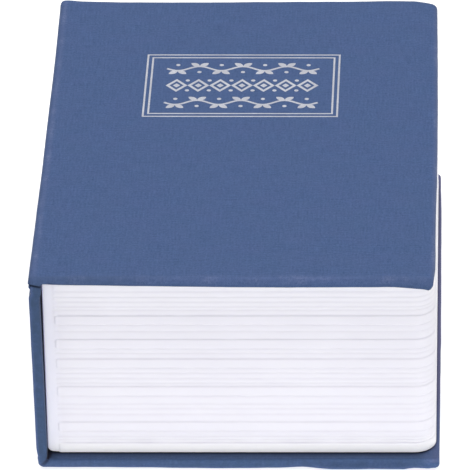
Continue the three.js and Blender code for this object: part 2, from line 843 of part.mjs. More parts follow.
const carcass = new THREE.Group();
carcass.add(
  part('case_cloth', caseCloth(), materials.cloth),
  part('spine_board', spineBoard(), materials.greyboard),
  part('back_board', backBoard(), materials.greyboard),
  part('spine_lining', spineLining(), materials.paper),
  part('back_endpaper', backEndpaper(), materials.paper),
  part('page_block', pageBlock(), materials.pages),
  part('tray', tray(), materials.blackSteel),
  part('hinge_pin', hingePin(), materials.steel)
);
bossPlaces().forEach(([x, y], i) => {
  const body = screw(trayScrewRadius, trayScrewLength, trayScrewHeadRadius, trayScrewHeadThickness);
  const mesh = part(`tray_screw_${i + 1}`, body, materials.steel);
  mesh.position.set(x, y, trayTopZ - sheet);
  carcass.add(mesh);
});

const frontCover = new THREE.Group();
frontCover.add(
  part('front_cloth', frontCloth(), materials.cloth),
  part('front_board', frontBoard(), materials.greyboard),
  part('front_endpaper', frontEndpaper(), materials.paper)
);

const lidAssembly = new THREE.Group();
lidAssembly.add(part('lid', lid(), materials.blackSteel));

const lock = new THREE.Group();
lock.position.set(lockX, 0, lidTopZ);
const camScrew = part(
  'cam_screw',
  screw(camScrewRadius, camScrewLength, camScrewHeadRadius, camScrewHeadThickness),
  materials.steel
);
camScrew.position.set(0, 0, camWasherFootZ);
lock.add(
  part('lock_barrel', lockBarrel(), materials.chrome),
  part('lock_plug', lockPlug(), materials.chrome),
  part('lock_washer', lockWasher(), materials.steel),
  part('lock_nut', lockNut(), materials.steel),
  part('stop_washer', stopWasher(), materials.steel),
  part('lock_cam', lockCam(), materials.steel),
  part('cam_washer', camWasher(), materials.steel),
  camScrew
);
lidAssembly.add(lock);

safe.add(carcass, frontCover, lidAssembly);

export default safe;
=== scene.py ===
import json
import math

import bmesh
import bpy
import numpy as np
from mathutils import Matrix, Vector, noise


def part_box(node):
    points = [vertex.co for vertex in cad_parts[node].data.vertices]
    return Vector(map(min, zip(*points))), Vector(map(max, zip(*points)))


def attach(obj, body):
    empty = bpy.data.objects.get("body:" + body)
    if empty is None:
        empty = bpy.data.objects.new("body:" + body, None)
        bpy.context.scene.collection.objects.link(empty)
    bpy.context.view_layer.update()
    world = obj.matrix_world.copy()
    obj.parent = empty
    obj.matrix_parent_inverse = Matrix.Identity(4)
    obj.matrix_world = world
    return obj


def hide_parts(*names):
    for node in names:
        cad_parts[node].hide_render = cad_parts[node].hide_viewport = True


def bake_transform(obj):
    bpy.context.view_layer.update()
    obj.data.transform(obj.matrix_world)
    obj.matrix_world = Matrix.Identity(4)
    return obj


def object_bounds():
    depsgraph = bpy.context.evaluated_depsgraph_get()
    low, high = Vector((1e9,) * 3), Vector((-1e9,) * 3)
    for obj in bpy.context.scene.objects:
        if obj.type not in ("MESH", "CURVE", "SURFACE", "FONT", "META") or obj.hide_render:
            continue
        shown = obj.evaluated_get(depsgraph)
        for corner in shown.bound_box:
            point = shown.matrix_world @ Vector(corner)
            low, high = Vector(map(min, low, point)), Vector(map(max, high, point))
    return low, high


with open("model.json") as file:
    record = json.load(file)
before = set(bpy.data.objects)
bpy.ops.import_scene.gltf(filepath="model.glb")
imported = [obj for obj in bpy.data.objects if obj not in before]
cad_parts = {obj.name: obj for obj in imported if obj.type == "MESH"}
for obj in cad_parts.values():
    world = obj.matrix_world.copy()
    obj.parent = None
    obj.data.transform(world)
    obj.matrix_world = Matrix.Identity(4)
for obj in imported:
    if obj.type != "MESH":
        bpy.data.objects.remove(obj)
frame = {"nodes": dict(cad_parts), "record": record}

cad_low, cad_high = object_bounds()

# All sizes below are in millimetres, and meshes are made in metres.
MM = 0.001

# Cloth, board and turn-ins
CLOTH = 0.3
HINGE_CLOTH = 0.2
TURN_IN = 4.0
EDGE_RADIUS = 0.45
EDGE_STEPS = ((EDGE_RADIUS, 0.09), (5.0, 0.25))
SIDE_STEP = 0.22
MIDDLE_STEPS = (1.0, 2.0)
FOLD_MARGIN = 3.0
SPINE_CREST = 1.15
TAIL_CREST = 1.1
HEAD_CREST = 0.3
COVER_CORNER = 0.45
BACK_CORNER = 1.3
FOLD_OUTSIDE = 1.15
FOLD_INSIDE = 0.25
BOARD_GAP = 0.3
BOARD_EDGE = 0.2
BOARD_SPINE_CORNER = 0.3
THREAD_PITCH = 0.42
COVER_LEAN = 0.34
SPINE_LEAN = 0.4
LEAN_TOP = 39.4
LEAN_FADE = 0.9
LEAN_CUTS = (-55.0, -18.0, 2.5)
TAIL_DROP = 0.85
HEAD_DROP = 1.4
JOINT_NIP = 0.55
BACK_SPREAD = 0.3
SPINE_THINNING = 0.13
SPINE_RISE = 1.3
SHADE_DEPTH = 0.92
SHADE_REACH = 0.75
FORE_SHADE_REACH = 0.2
HEAD_SHADE = 0.45
# Painted shade on the narrow sides of the cloth: how much darker than the upper faces they are painted
COVER_SIDE_SHADE = 0.25
CASE_SIDE_SHADE = 0.58
SPINE_SIDE_SHADE = 0.9
FORE_WEAR = 0.9
FORE_FADE = 0.75
FORE_TAIL_LOSS = 0.75
CASE_RUN_SHIFT = (200.0, 0, 0)
HINGE_INSET = 0.35
HINGE_ROWS = 116
HINGE_TUCK = ((0.25, 0.55), (0.12, 0.25), (0.06, 0.0))

# Uneven edges of the front cover: height, middle and width of each hump
SPINE_BULGE = ((0.12, 32.0, 18.0), (-0.1, -27.0, 10.0))
HEAD_HUMPS = ((-0.15, -12.0, 22.0), (0.2, -34.5, 4.5), (0.45, -38.6, 2.4), (0.15, 30.0, 4.0))

# Page block: raised bands and fine lines, by height above the ground
BAND_EDGES = ((2.2, 4.65), (7.3, 9.55), (15.5, 17.8), (22.0, 24.2), (26.5, 28.7), (31.95, 34.15))
LINE_LEVELS = (5.3, 5.95, 11.25, 12.6, 13.7, 18.5, 19.6, 20.85, 25.5, 30.5, 35.45, 36.2, 37.3, 38.4, 39.62)
BAND_PROUD = 0.14
PAGE_INSET = 0.22
BAND_START = 2.3
BAND_CORNER = 0.55
BAND_SHOULDER = 0.35
OUTLINE_DEPTH = 0.05
OUTLINE_HALF = 0.16
LINE_START = 2.1
LINE_FADE = 0.3
LINE_DEPTH = 0.05
LINE_HALF = 0.17
STRIP_CROWN = 0.03
# Painted shade in the page block's grooves: round the bands, in the fine lines, at the bands' ends and at the
# step where they start
OUTLINE_SHADE = 0.85
LINE_SHADE = 0.62
END_SHADE = 0.15
STEP_SHADE = 0.45
FORE_CORNER = 4.2
SPINE_CORNER = 0.3
FOOT_CORNER = 1.35
WELL_CORNER = 2.5
WALL = 1.8
RIM = 5.5
RIM_THICKNESS = 1.8
SKIRT_WALL = 1.5
SKIRT_FOOT = 35.5
FOOT_GAP = 0.15
FOOT_DRAW = 0.36
FOOT_INSET = 0.27
FOOT_RADIUS = 0.2
FOOT_STEP = 0.2
RIM_RADIUS = 0.5
WELL_EDGE = ((0.0, 0.4), (0.06, 0.2), (0.2, 0.06), (0.4, 0.0))
LEVEL_GAPS = (0.03, 0.35)
FINE_REACH = 3.0
FINE_STEP = 0.1
TAIL_STEPS = 44
FORE_STEPS = 34
SPINE_STEPS = 24
ARC_STEPS = (17, 9)
BOSS_RADIUS = 2.6
BOSS_FOOT = 6.3
BOSS_STEPS = 28
HOLE_RADIUS = 1.3
HOLE_DEPTH = 3.8

# Foil frame on the front cover
FOIL_CENTRE = (-0.55, 20.72)
FOIL_TURN = math.radians(-0.3)
FOIL_OUTER = (40.1, 26.5)
FOIL_INNER = (38.0, 24.1)
FOIL_LINE = 0.38
FOIL_HEIGHT = 0.025
ORNAMENT_PITCH = 4.5
ORNAMENT_COUNT = 7
LOZENGE_HEIGHT = 5.4
LOZENGE_BORDER = (1.6, 1.8)
LOZENGE_CORE = (1.5, 1.7)
ROW_DISTANCE = 7.2
STEM_WAVE = 0.9
STEM_WIDTH = 0.55
STEM_STEPS = 112
LEAF_LENGTH = 2.3
LEAF_WIDTH = 1.25
LEAF_SPREAD = 52.0
LEAF_LIFT = 0.004
LEAF_STEPS = 8
DOT_RADIUS = 0.45
DOT_STEPS = 14
DOT_BELOW = 1.5
DOT_ASIDE = 2.1

# Fine edge of the plastic and metal pieces, and the angles in degrees past which an edge looks sharp
NODE_EDGE = 0.1
SHARP_ANGLE = 35
FOIL_SHARP_ANGLE = 30

# Camera: from the tail, a little to the fore-edge side
CAMERA_ELEVATION = math.radians(30.204)
CAMERA_YAW = math.radians(2.392)
CAMERA_ROLL = math.radians(-1.249)
CAMERA_DISTANCE = 1377.8
CAMERA_ASIDE = 1.763
CAMERA_ABOVE = 1.341
CAMERA_SENSOR = 36.0
CAMERA_LENS = 515.06

# Room, in metres: the glow of the floor round the safe, and the lights' places, sizes and powers
GLOW = 0.76
GLOW_CENTRE = (0, 0.06, 0)
GLOW_REACH = (0.135, 0.25)
FLOOR_SIZE = 6.0
SKY_STRENGTH = 0.36
LIGHT_TARGET = (0, 0, 0.03)
LIGHTS = (
    ("top", (0, 0.25, 1.2), (1.6, 1.2), 13.5),
    ("front", (0.35, -1.6, 0.25), (1.0, 0.5), 11.6),
)


def span(node):
    """Lowest and highest corner of a CAD node."""
    low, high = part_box(node)
    return np.array(low) / MM, np.array(high) / MM


cover_low, cover_high = span("front_cloth")
block_low, block_high = span("page_block")
case_low, case_high = span("case_cloth")
case_thickness = cover_high[2] - cover_low[2]
fold_outer = case_thickness + FOLD_INSIDE
inner_corner = case_low[0] + case_thickness

# Length of spine, fold and back cover along the bent slab, and the size of each cover's flat slab
spine_run = case_high[2] - fold_outer
fold_run = math.pi / 2 * (case_thickness / 2 + FOLD_INSIDE)
back_run = case_high[0] - case_low[0] - fold_outer
cover_size = cover_high - cover_low
case_size = np.array([spine_run + fold_run + back_run, case_high[1] - case_low[1], case_thickness])


def smooth(t):
    t = np.clip(t, 0, 1)
    return t * t * (3 - 2 * t)


def bell(t):
    return np.exp(-np.square(t))


# Mesh building

def in_scene(name, data):
    thing = bpy.data.objects.new(name, data)
    bpy.context.scene.collection.objects.link(thing)
    return thing


def make_piece(name, points, faces, body, slot, material=None, shade_angle=None):
    """A smooth piece in its slot's material, unless another is given."""
    mesh = bpy.data.meshes.new(name)
    mesh.from_pydata((np.asarray(points) * MM).tolist(), [], [tuple(face) for face in faces])
    mesh.validate()
    mesh.shade_smooth()
    if shade_angle is not None:
        mesh.set_sharp_from_angle(angle=math.radians(shade_angle))
    mesh.materials.append(material or materials[slot])
    piece = in_scene(name, mesh)
    if body:
        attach(piece, body)
    return piece


def paint(piece, **values):
    """Gives each point a number or a vector, under a name that the materials read."""
    for name, numbers in values.items():
        numbers = np.asarray(numbers, np.float32)
        kind, field = ("FLOAT_VECTOR", "vector") if numbers.ndim == 2 else ("FLOAT", "value")
        piece.data.attributes.new(name, kind, "POINT").data.foreach_set(field, numbers.ravel())


def grid_faces(rows, count, rows_close=False, row_closes=False):
    """Quads between neighbouring rows of count points each."""
    faces = []
    for row in range(rows if rows_close else rows - 1):
        start, following = row * count, (row + 1) % rows * count
        for k in range(count if row_closes else count - 1):
            after = (k + 1) % count
            faces.append((start + k, start + after, following + after, following + k))
    return faces


def stack_faces(rows, count):
    """Faces of closed rings stacked upwards, with a cap at each end."""
    last = (rows - 1) * count
    caps = [tuple(reversed(range(count))), tuple(range(last, last + count))]
    return caps + grid_faces(rows, count, row_closes=True)


def joined(parts):
    """One mesh of several, each given as points and faces."""
    points, faces = [], []
    for part_points, part_faces in parts:
        faces += [tuple(len(points) + k for k in face) for face in part_faces]
        points += list(part_points)
    return points, faces


def circle(x, y, radius, steps):
    angles = [k / steps * 2 * math.pi for k in range(steps)]
    return [(x + radius * math.cos(angle), y + radius * math.sin(angle)) for angle in angles]


def stations(length, edge_steps, middle_step):
    """Places from 0 to length, closer near both ends, where edge_steps lists (reach, spacing)."""
    near = [0.0]
    for reach, step in edge_steps:
        start = near[-1]
        count = max(1, round((reach - start) / step))
        near += [start + (reach - start) * k / count for k in range(1, count + 1)]
    gap = length - 2 * near[-1]
    count = max(1, round(gap / middle_step))
    middle = [near[-1] + gap * k / count for k in range(1, count)]
    return np.array(near + middle + [length - place for place in reversed(near)])


def box_surface(us, vs, ws):
    """Grid points on the six faces of a box, and quads that face out."""
    nu, nv, nw = len(us), len(vs), len(ws)
    on_surface = np.zeros((nu, nv, nw), bool)
    on_surface[[0, -1]] = True
    on_surface[:, [0, -1]] = True
    on_surface[:, :, [0, -1]] = True
    index = np.full((nu, nv, nw), -1)
    index[on_surface] = np.arange(on_surface.sum())
    i, j, k = np.nonzero(on_surface)
    points = np.stack([us[i], vs[j], ws[k]], axis=1)

    def quads(sheet, flip):
        corners = [sheet[:-1, :-1], sheet[1:, :-1], sheet[1:, 1:], sheet[:-1, 1:]]
        if flip:
            corners.reverse()
        return np.stack([corner.ravel() for corner in corners], axis=1)

    faces = [
        quads(index[:, :, -1], False), quads(index[:, :, 0], True),
        quads(index[-1], False), quads(index[0], True),
        quads(index[:, 0], False), quads(index[:, -1], True),
    ]
    return points, np.concatenate(faces)


def open_face(points, faces, inside):
    """Leaves out the faces with all corners inside the opening, and the points nothing uses then."""
    kept = faces[~inside[faces].all(axis=1)]
    used = np.unique(kept)
    renumber = np.full(len(points), -1)
    renumber[used] = np.arange(len(used))
    return used, renumber[kept]


def round_edges(points, size, radius):
    core = np.clip(points, radius, np.array(size) - radius)
    away = points - core
    length = np.linalg.norm(away, axis=1, keepdims=True)
    return core + away * radius / np.maximum(length, 1e-9)


def round_corners(points, size, low_radius, high_radius):
    """Rounds the plan's corners: the two at the low end of u, and the two at its high end."""
    points = points.copy()
    for high_u, high_v in ((0, 0), (1, 0), (0, 1), (1, 1)):
        radius = high_radius if high_u else low_radius
        centre = np.where((high_u, high_v), size[:2] - radius, radius)
        away = (points[:, :2] - centre) * (2 * high_u - 1, 2 * high_v - 1)
        zone = (away > 0).all(axis=1)
        pull = away[zone].max(axis=1) / np.hypot(*away[zone].T)
        points[zone, :2] = centre + (points[zone, :2] - centre) * pull[:, None]
    return points


def vertex_normals(points, faces):
    a, b, c, d = (points[faces[:, n]] for n in range(4))
    across = np.cross(c - a, d - b)
    normals = np.zeros_like(points)
    for n in range(4):
        np.add.at(normals, faces[:, n], across)
    return normals / np.maximum(np.linalg.norm(normals, axis=1, keepdims=True), 1e-12)


def noise_at(points, scale, seed):
    """Smooth noise between about -1 and 1, with features about scale wide."""
    offset = Vector((seed * 17.3, seed * 5.1, seed * 9.7))
    return np.array([noise.noise(Vector(point) / scale + offset) for point in points])


def lumpy(points, faces, edge, seed):
    """Moves a slab's narrow sides in and out a little, as hand-folded cloth lies."""
    normals = vertex_normals(points, faces)
    lumps = noise_at(points, 5.0, seed) * 0.05 + noise_at(points, 1.6, seed + 1) * 0.02
    return points + normals * (lumps * edge)[:, None]


def from_segment(points, start, end):
    start, end = np.array(start, float), np.array(end, float)
    along = end - start
    t = np.clip((points - start) @ along / (along @ along), 0, 1)
    return np.linalg.norm(points - start - t[:, None] * along, axis=1)


def press_creases(points, creases):
    """Moves points outwards along the length by each crease's height, negative for a fold pressed in."""
    points = points.copy()
    for start, end, height, width in creases:
        near = bell(from_segment(points, start, end) / width)
        points[:, 1] += math.copysign(height, height * start[1]) * near
    return points


# Materials

class Look:
    """A material, with short ways to add nodes to it and join them."""

    def __init__(self, name):
        self.material = bpy.data.materials.new(name)
        self.material.use_nodes = True
        self.tree = self.material.node_tree

    def feed(self, node, inputs):
        """Links an input to a socket, or sets it to a value."""
        for key, value in inputs.items():
            if isinstance(value, bpy.types.NodeSocket):
                self.tree.links.new(value, node.inputs[key])
            else:
                node.inputs[key].default_value = value

    def node(self, kind, inputs=None, **settings):
        made = self.tree.nodes.new("ShaderNode" + kind)
        for key, value in settings.items():
            setattr(made, key, value)
        self.feed(made, inputs or {})
        return made.outputs

    def calc(self, operation, a, b=0.0):
        return self.node("Math", {0: a, 1: b}, operation=operation)[0]

    def times(self, a, b):
        return self.calc("MULTIPLY", a, b)

    def stretched(self, vector, scale):
        return self.node("VectorMath", {0: vector, 1: scale}, operation="MULTIPLY")[0]

    def noise(self, vector, scale, detail=2.0, roughness=0.5):
        inputs = {"Vector": vector, "Scale": scale, "Detail": detail, "Roughness": roughness}
        return self.node("TexNoise", inputs)["Fac"]

    def remap(self, value, low, high, to_low=0.0, to_high=1.0):
        inputs = {"Value": value, "From Min": low, "From Max": high, "To Min": to_low, "To Max": to_high}
        return self.node("MapRange", inputs)["Result"]

    def mix(self, factor, *colours):
        first, second = (c if isinstance(c, bpy.types.NodeSocket) else (*c, 1.0) for c in colours)
        return self.node("Mix", {0: factor, 6: first, 7: second}, data_type="RGBA")[2]

    def layered(self, base, *layers):
        """The base colour under layers, each a factor and a colour."""
        for factor, colour in layers:
            base = self.mix(factor, base, colour)
        return base

    def painted(self, name, output="Fac"):
        """What paint() gave the points under this name."""
        return self.node("Attribute", attribute_name=name)[output]

    def place(self):
        """The point in the frame, in millimetres."""
        return self.stretched(self.node("TexCoord")["Object"], (1000, 1000, 1000))

    def bump(self, height, distance):
        return self.node("Bump", {"Height": height, "Distance": distance * MM, "Strength": 1.0})["Normal"]

    def finish(self, base, roughness, more):
        self.feed(self.tree.nodes["Principled BSDF"], {"Base Color": base, "Roughness": roughness, **more})
        return self.material


def weave_height(look, run):
    """Plain weave over the cloth's own run: threads one way and the other, with slubs."""
    wobble = look.node("TexNoise", {"Vector": run, "Scale": 0.35, "Detail": 2.0})["Color"]
    shift = look.node("VectorMath", {0: wobble, 1: (0.9, 0.9, 0.0), 2: run}, operation="MULTIPLY_ADD")[0]
    parts = look.node("SeparateXYZ", {0: shift})
    threads = [look.calc("SINE", look.times(parts[n], 2 * math.pi / THREAD_PITCH)) for n in (0, 1)]
    stretches = ((2.6, 0.22, 1.0), (0.22, 2.6, 1.0))
    slubs = [look.noise(look.stretched(run, stretch), 1.0, 3.0, 0.6) for stretch in stretches]
    return look.calc("ADD", look.times(look.times(*threads), 0.22), look.calc("ADD", *slubs))


def cloth_material():
    look = Look("book_cloth")
    run, edge = look.painted("run", "Vector"), look.painted("edge")
    height = weave_height(look, run)
    tone = look.remap(height, 0.6, 1.4)
    cloud = look.noise(run, 0.11, 4.0, 0.6)
    hue = look.noise(look.stretched(run, (1.0, 1.3, 1.0)), 0.16, 3.0, 0.55)
    grain = look.noise(run, 2.2, 3.0, 0.7)
    patch = look.noise(run, 0.16, 3.0, 0.65)
    worn = look.times(look.times(edge, look.remap(patch, 0.48, 0.66)), look.remap(grain, 0.35, 0.62))
    blotch = look.remap(look.noise(run, 0.7, 3.0, 0.6), 0.35, 0.65, 0.7, 1.3)
    base = look.layered(
        look.mix(tone, (0.032, 0.072, 0.186), (0.064, 0.123, 0.296)),
        (look.remap(hue, 0.35, 0.75, 0.0, 0.4), (0.066, 0.102, 0.255)),
        (look.remap(cloud, 0.35, 0.7, 0.0, 0.35), (0.052, 0.103, 0.230)),
    )
    base = look.layered(
        look.stretched(base, look.remap(grain, 0.3, 0.7, 0.86, 1.14)),
        (look.remap(grain, 0.32, 0.72, 0.0, 0.28), (0.14, 0.178, 0.284)),
        # Painted highlights along the crests, from the edge value; the scuffs below also follow it
        (look.times(edge, 0.35), (0.110, 0.145, 0.290)),
        (look.times(worn, 0.35), (0.25, 0.29, 0.47)),
        # Painted shade on the narrow sides, made blotchy by noise
        (look.times(look.painted("side"), blotch), (0.043, 0.076, 0.152)),
        (look.painted("fore"), (0.123, 0.115, 0.213)),
        (look.painted("shade"), (0.012, 0.012, 0.030)),
    )
    return look.finish(base, look.remap(tone, 0.0, 1.0, 0.82, 0.68), {
        "Normal": look.bump(height, 0.035),
        "Specular IOR Level": 0.18,
        "Sheen Weight": 0.04,
        "Sheen Roughness": 0.5,
    })


def page_material():
    look = Look("page_plastic")
    place = look.place()
    from_spine, _, height = look.node("SeparateXYZ", {0: place})
    tint = look.remap(look.noise(place, 0.05, 3.0), 0.35, 0.65)
    specks = look.node("TexVoronoi", {"Vector": place, "Scale": 0.13, "Randomness": 1.0})["Distance"]
    rare = look.remap(look.noise(place, 0.04, 1.0), 0.52, 0.56)
    dirt = look.times(look.remap(specks, 0.018, 0.034, 1.0, 0.0), rare)
    uneven = look.remap(look.noise(look.stretched(place, (0.3, 0.3, 1.0)), 0.5, 2.0), 0.3, 0.7, 0.6, 1.4)
    base = look.layered(
        look.mix(tint, (0.785, 0.775, 0.84), (0.803, 0.793, 0.858)),
        # Painted light: the block is painted lighter towards its foot and a little near its top, standing in
        # for light that falls there
        (look.remap(height, 2.6, 6.5, 1.0, 0.0), (0.975, 0.965, 0.99)),
        (look.remap(height, 33.0, 41.0, 0.0, 0.4), (0.965, 0.958, 0.99)),
        # Painted light and shade at the spine side: a lavender tint for blue light thrown back from the
        # cloth, and a violet painted shade where the plastic turns into the gap
        (look.remap(from_spine, -37.6, -34.6, 0.9, 0.0), (0.86, 0.86, 0.99)),
        (look.remap(from_spine, -37.8, -37.5, 0.8, 0.0), (0.46, 0.44, 0.76)),
        (look.times(dirt, 0.45), (0.36, 0.33, 0.32)),
        # Painted shade in the grooves, made uneven by noise
        (look.times(look.painted("dust"), uneven), (0.735, 0.72, 0.79)),
        # Painted shade in the recess under the block's foot
        (look.painted("grime"), (0.03, 0.025, 0.035)),
    )
    flow = look.noise(look.stretched(place, (0.5, 0.5, 2.5)), 0.6, 3.0)
    return look.finish(base, look.remap(flow, 0.3, 0.7, 0.30, 0.42), {
        "Normal": look.bump(flow, 0.003),
        "Subsurface Weight": 0.4,
        "Subsurface Scale": 1.0,
        "Subsurface Radius": (0.0012, 0.0012, 0.0013),
    })


def foil_material():
    look = Look("silver_foil")
    place = look.place()
    threads = look.noise(look.stretched(place, (1.0, 2.4, 1.0)), 2.2, 2.0, 0.6)
    patches = look.noise(place, 0.35, 2.0)
    missing = look.remap(look.calc("ADD", threads, look.times(patches, 0.5)), 0.78, 0.98)
    bright = look.mix(look.remap(patches, 0.3, 0.7), (0.78, 0.79, 0.88), (0.90, 0.91, 0.97))
    base = look.mix(look.times(missing, 0.4), bright, (0.16, 0.20, 0.36))
    gloss = look.remap(missing, 0.0, 1.0, 0.32, 0.6)
    return look.finish(base, gloss, {"Normal": look.bump(threads, 0.02), "Metallic": 0.7})


def paper_material():
    look = Look("endpaper")
    place = look.place()
    fibres = look.noise(look.stretched(place, (1.0, 0.35, 1.0)), 1.6, 5.0, 0.7)
    cloud = look.noise(place, 0.07, 3.0)
    base = look.mix(look.remap(fibres, 0.3, 0.7), (0.74, 0.72, 0.67), (0.84, 0.83, 0.79))
    base = look.mix(look.remap(cloud, 0.4, 0.7, 0.0, 0.4), base, (0.77, 0.74, 0.67))
    return look.finish(base, 0.8, {"Normal": look.bump(fibres, 0.02), "Specular IOR Level": 0.25})


def board_material():
    look = Look("greyboard")
    fibres = look.noise(look.stretched(look.place(), (0.6, 0.6, 3.0)), 1.5, 5.0, 0.75)
    base = look.mix(look.remap(fibres, 0.3, 0.7), (0.25, 0.235, 0.21), (0.40, 0.38, 0.345))
    return look.finish(base, 0.9, {"Normal": look.bump(fibres, 0.05)})


def powder_coat_material():
    look = Look("black_steel")
    place = look.place()
    peel = look.noise(place, 2.6, 3.0, 0.55)
    wear = look.noise(place, 0.12, 4.0, 0.6)
    base = look.mix(look.remap(wear, 0.4, 0.7), (0.018, 0.018, 0.020), (0.030, 0.030, 0.033))
    return look.finish(base, look.remap(wear, 0.35, 0.7, 0.36, 0.5), {"Normal": look.bump(peel, 0.03)})


def plated_material(name, stretch, grain, cloud_scale, colours, polish, relief):
    """Bare metal with fine lines: grain is their scale, detail and roughness, polish their gloss."""
    look = Look(name)
    place = look.place()
    lines = look.noise(look.stretched(place, stretch), *grain)
    cloud = look.noise(place, cloud_scale, 3.0)
    base = look.mix(look.remap(cloud, 0.35, 0.65), *colours)
    normal = look.bump(lines, relief)
    return look.finish(base, look.remap(lines, *polish), {"Normal": normal, "Metallic": 1.0})


def zinc_material():
    colours = ((0.50, 0.505, 0.53), (0.66, 0.665, 0.68))
    grain, polish = (1.6, 4.0, 0.65), (0.3, 0.7, 0.24, 0.42)
    return plated_material("bright_steel", (3.0, 0.4, 3.0), grain, 0.5, colours, polish, 0.006)


def chrome_material():
    colours = ((0.74, 0.745, 0.76), (0.86, 0.862, 0.875))
    grain, polish = (2.4, 3.0, 0.7), (0.4, 0.75, 0.07, 0.2)
    return plated_material("lock_chrome", (0.6, 5.0, 1.0), grain, 0.4, colours, polish, 0.001)


def floor_material():
    """A pale floor that glows softly round the safe, like a light table."""
    look = Look("pale_floor")
    place = look.node("TexCoord")["Object"]
    base = look.mix(look.noise(place, 3.0, 2.0), (0.53, 0.53, 0.53), (0.55, 0.55, 0.55))
    away = look.node("VectorMath", {0: place, 1: GLOW_CENTRE}, operation="DISTANCE")["Value"]
    return look.finish(base, 0.7, {
        "Emission Color": (1.0, 1.0, 1.0, 1.0),
        "Emission Strength": look.remap(away, *GLOW_REACH, GLOW, 0.0),
        "Specular IOR Level": 0.2,
    })


# Cloth over board

def cloth_run(points, size):
    """Where each point lies on the unfolded cloth, which goes on down the sides."""
    u, v, w = points.T
    down = size[2] - w
    run_u = np.where(u <= 0, -down, np.where(u >= size[0], size[0] + down, u))
    run_v = np.where(v <= 0, -down, np.where(v >= size[1], size[1] + down, v))
    return np.stack([run_u, run_v, np.zeros_like(u)], axis=1)


def slab_stations(size):
    us, vs = (stations(length, EDGE_STEPS, step) for length, step in zip(size, MIDDLE_STEPS))
    return us, vs, stations(size[2], EDGE_STEPS[:1], SIDE_STEP)


def rounded_slab(grid, size, edge, spine_corner, fore_corner):
    return round_corners(round_edges(grid, size, edge), size, spine_corner, fore_corner)


def cloth_skin(steps, size, corner, seed):
    """A slab's skin, open inside its turn-ins: flat grid, faces and rounded, uneven points."""
    grid, faces = box_surface(*steps)
    inside = grid[:, 2] == 0
    for axis in (0, 1):
        middle = size[axis] / 2
        inside &= np.abs(grid[:, axis] - middle) < middle - TURN_IN + 0.01
    used, faces = open_face(grid, faces, inside)
    grid = grid[used]
    points = rounded_slab(grid, size, EDGE_RADIUS, EDGE_RADIUS, corner)
    return grid, faces, lumpy(points, faces, edge_nearness(grid, size), seed)


def crest_drop(points, size):
    """The cover's edges are rounded over from its upper face, most at the spine and the tail."""
    u, v, w = points.T
    along = np.maximum(1 - u / SPINE_CREST, 1 - (size[0] - u) / TAIL_CREST)
    at_tail = 1 - v / TAIL_CREST
    at_head = 1 - (size[1] - v) / HEAD_CREST
    reach = np.clip(np.hypot(np.clip(along, 0, 1), np.clip(at_tail, 0, 1)), 0, 1)
    rounded = TAIL_CREST * (1 - np.sqrt(1 - reach**2))
    rounded = np.maximum(rounded, HEAD_CREST * (1 - np.sqrt(1 - np.clip(at_head, 0, 1)**2)))
    return rounded * w / size[2]


def tail_lean(y):
    """Share of the sideways lean that spine and front cover have near the tail."""
    return smooth((-20.0 - y) / 37.5)


def spine_lean(y, z):
    """The spine's lean, which ends below its upper edge so that the opened cover lies beside it."""
    upwards = np.clip(z / case_high[2], 0, 1) * (1 - smooth((z - LEAN_TOP) / LEAN_FADE))
    return SPINE_LEAN * tail_lean(y) * upwards


def humps(place, rows):
    """Rounded humps side by side; each row is a height, a middle and a width."""
    return sum(height * bell((place - middle) / width) for height, middle, width in rows)


def cover_shape(points):
    """Places points of the flat cover slab, given from its lowest corner, with its soft warps."""
    u, v, w = points.T
    z = w - crest_drop(points, cover_size)
    x, y = u + cover_low[0], v + cover_low[1]
    towards_fore = u / cover_size[0]
    x = x + (1 - towards_fore) * (humps(y, SPINE_BULGE) - COVER_LEAN * tail_lean(y))
    x = x - towards_fore * (0.2 + 0.2 * smooth((-10.0 - y) / 26.0) + 0.3 * np.clip(y / 57.5, 0, 1) ** 2)
    tail = smooth((block_low[1] - 0.1 - y) / 2.6)
    head = smooth((y - block_high[1] - 0.1) / 2.6)
    under = 1 - w / cover_size[2]
    fore = np.clip((x - 31.0) / 8.5, 0, 1)
    z = z - tail * (TAIL_DROP * fore**1.3 + 0.04 * np.sin(x / 9.0))
    z = z + tail * (0.12 + 0.7 * smooth((8.0 - x) / 50.0) ** 1.3 + 0.22 * smooth((-33.0 - x) / 4.0)) * under
    z = z + head * (humps(x, HEAD_HUMPS) - HEAD_DROP * np.clip((x - 34.2) / 5.8, 0, 1) ** 1.8)
    z = z - JOINT_NIP * tail * under * np.clip((x + 40.0) / 1.9, 0, 1) * (1 - smooth((x + 37.9) / 0.3))
    tuck = 0.6 * np.clip((-51.0 - y) / 6.5, 0, 1) ** 1.2 + 0.5 * smooth((-56.2 - y) / 1.3)
    x = x - tuck * (0.66 + 0.24 * under) * smooth((x - 36.5) / 3.2)
    return np.stack([x, y, z + cover_low[2]], axis=1)


# Folds of the turned-in cloth on the front cover: start, end, height, width
COVER_CREASES = (
    ((33.6, -57.5, 43.6), (34.6, -57.5, 42.4), -0.13, 0.45),
    ((36.6, -57.5, 43.3), (36.0, -57.5, 42.4), 0.08, 0.6),
    ((37.6, -57.4, 43.2), (37.2, -57.3, 42.5), -0.12, 0.45),
    ((38.6, -56.6, 43.9), (38.9, -56.2, 43.5), -0.10, 0.4),
    ((-39.2, -57.5, 43.1), (-37.9, -57.5, 42.6), 0.14, 0.45),
    ((36.2, 57.5, 43.4), (36.8, 57.5, 41.9), -0.12, 0.5),
    ((-37.6, 57.5, 43.2), (-36.8, 57.5, 42.0), -0.12, 0.4),
)


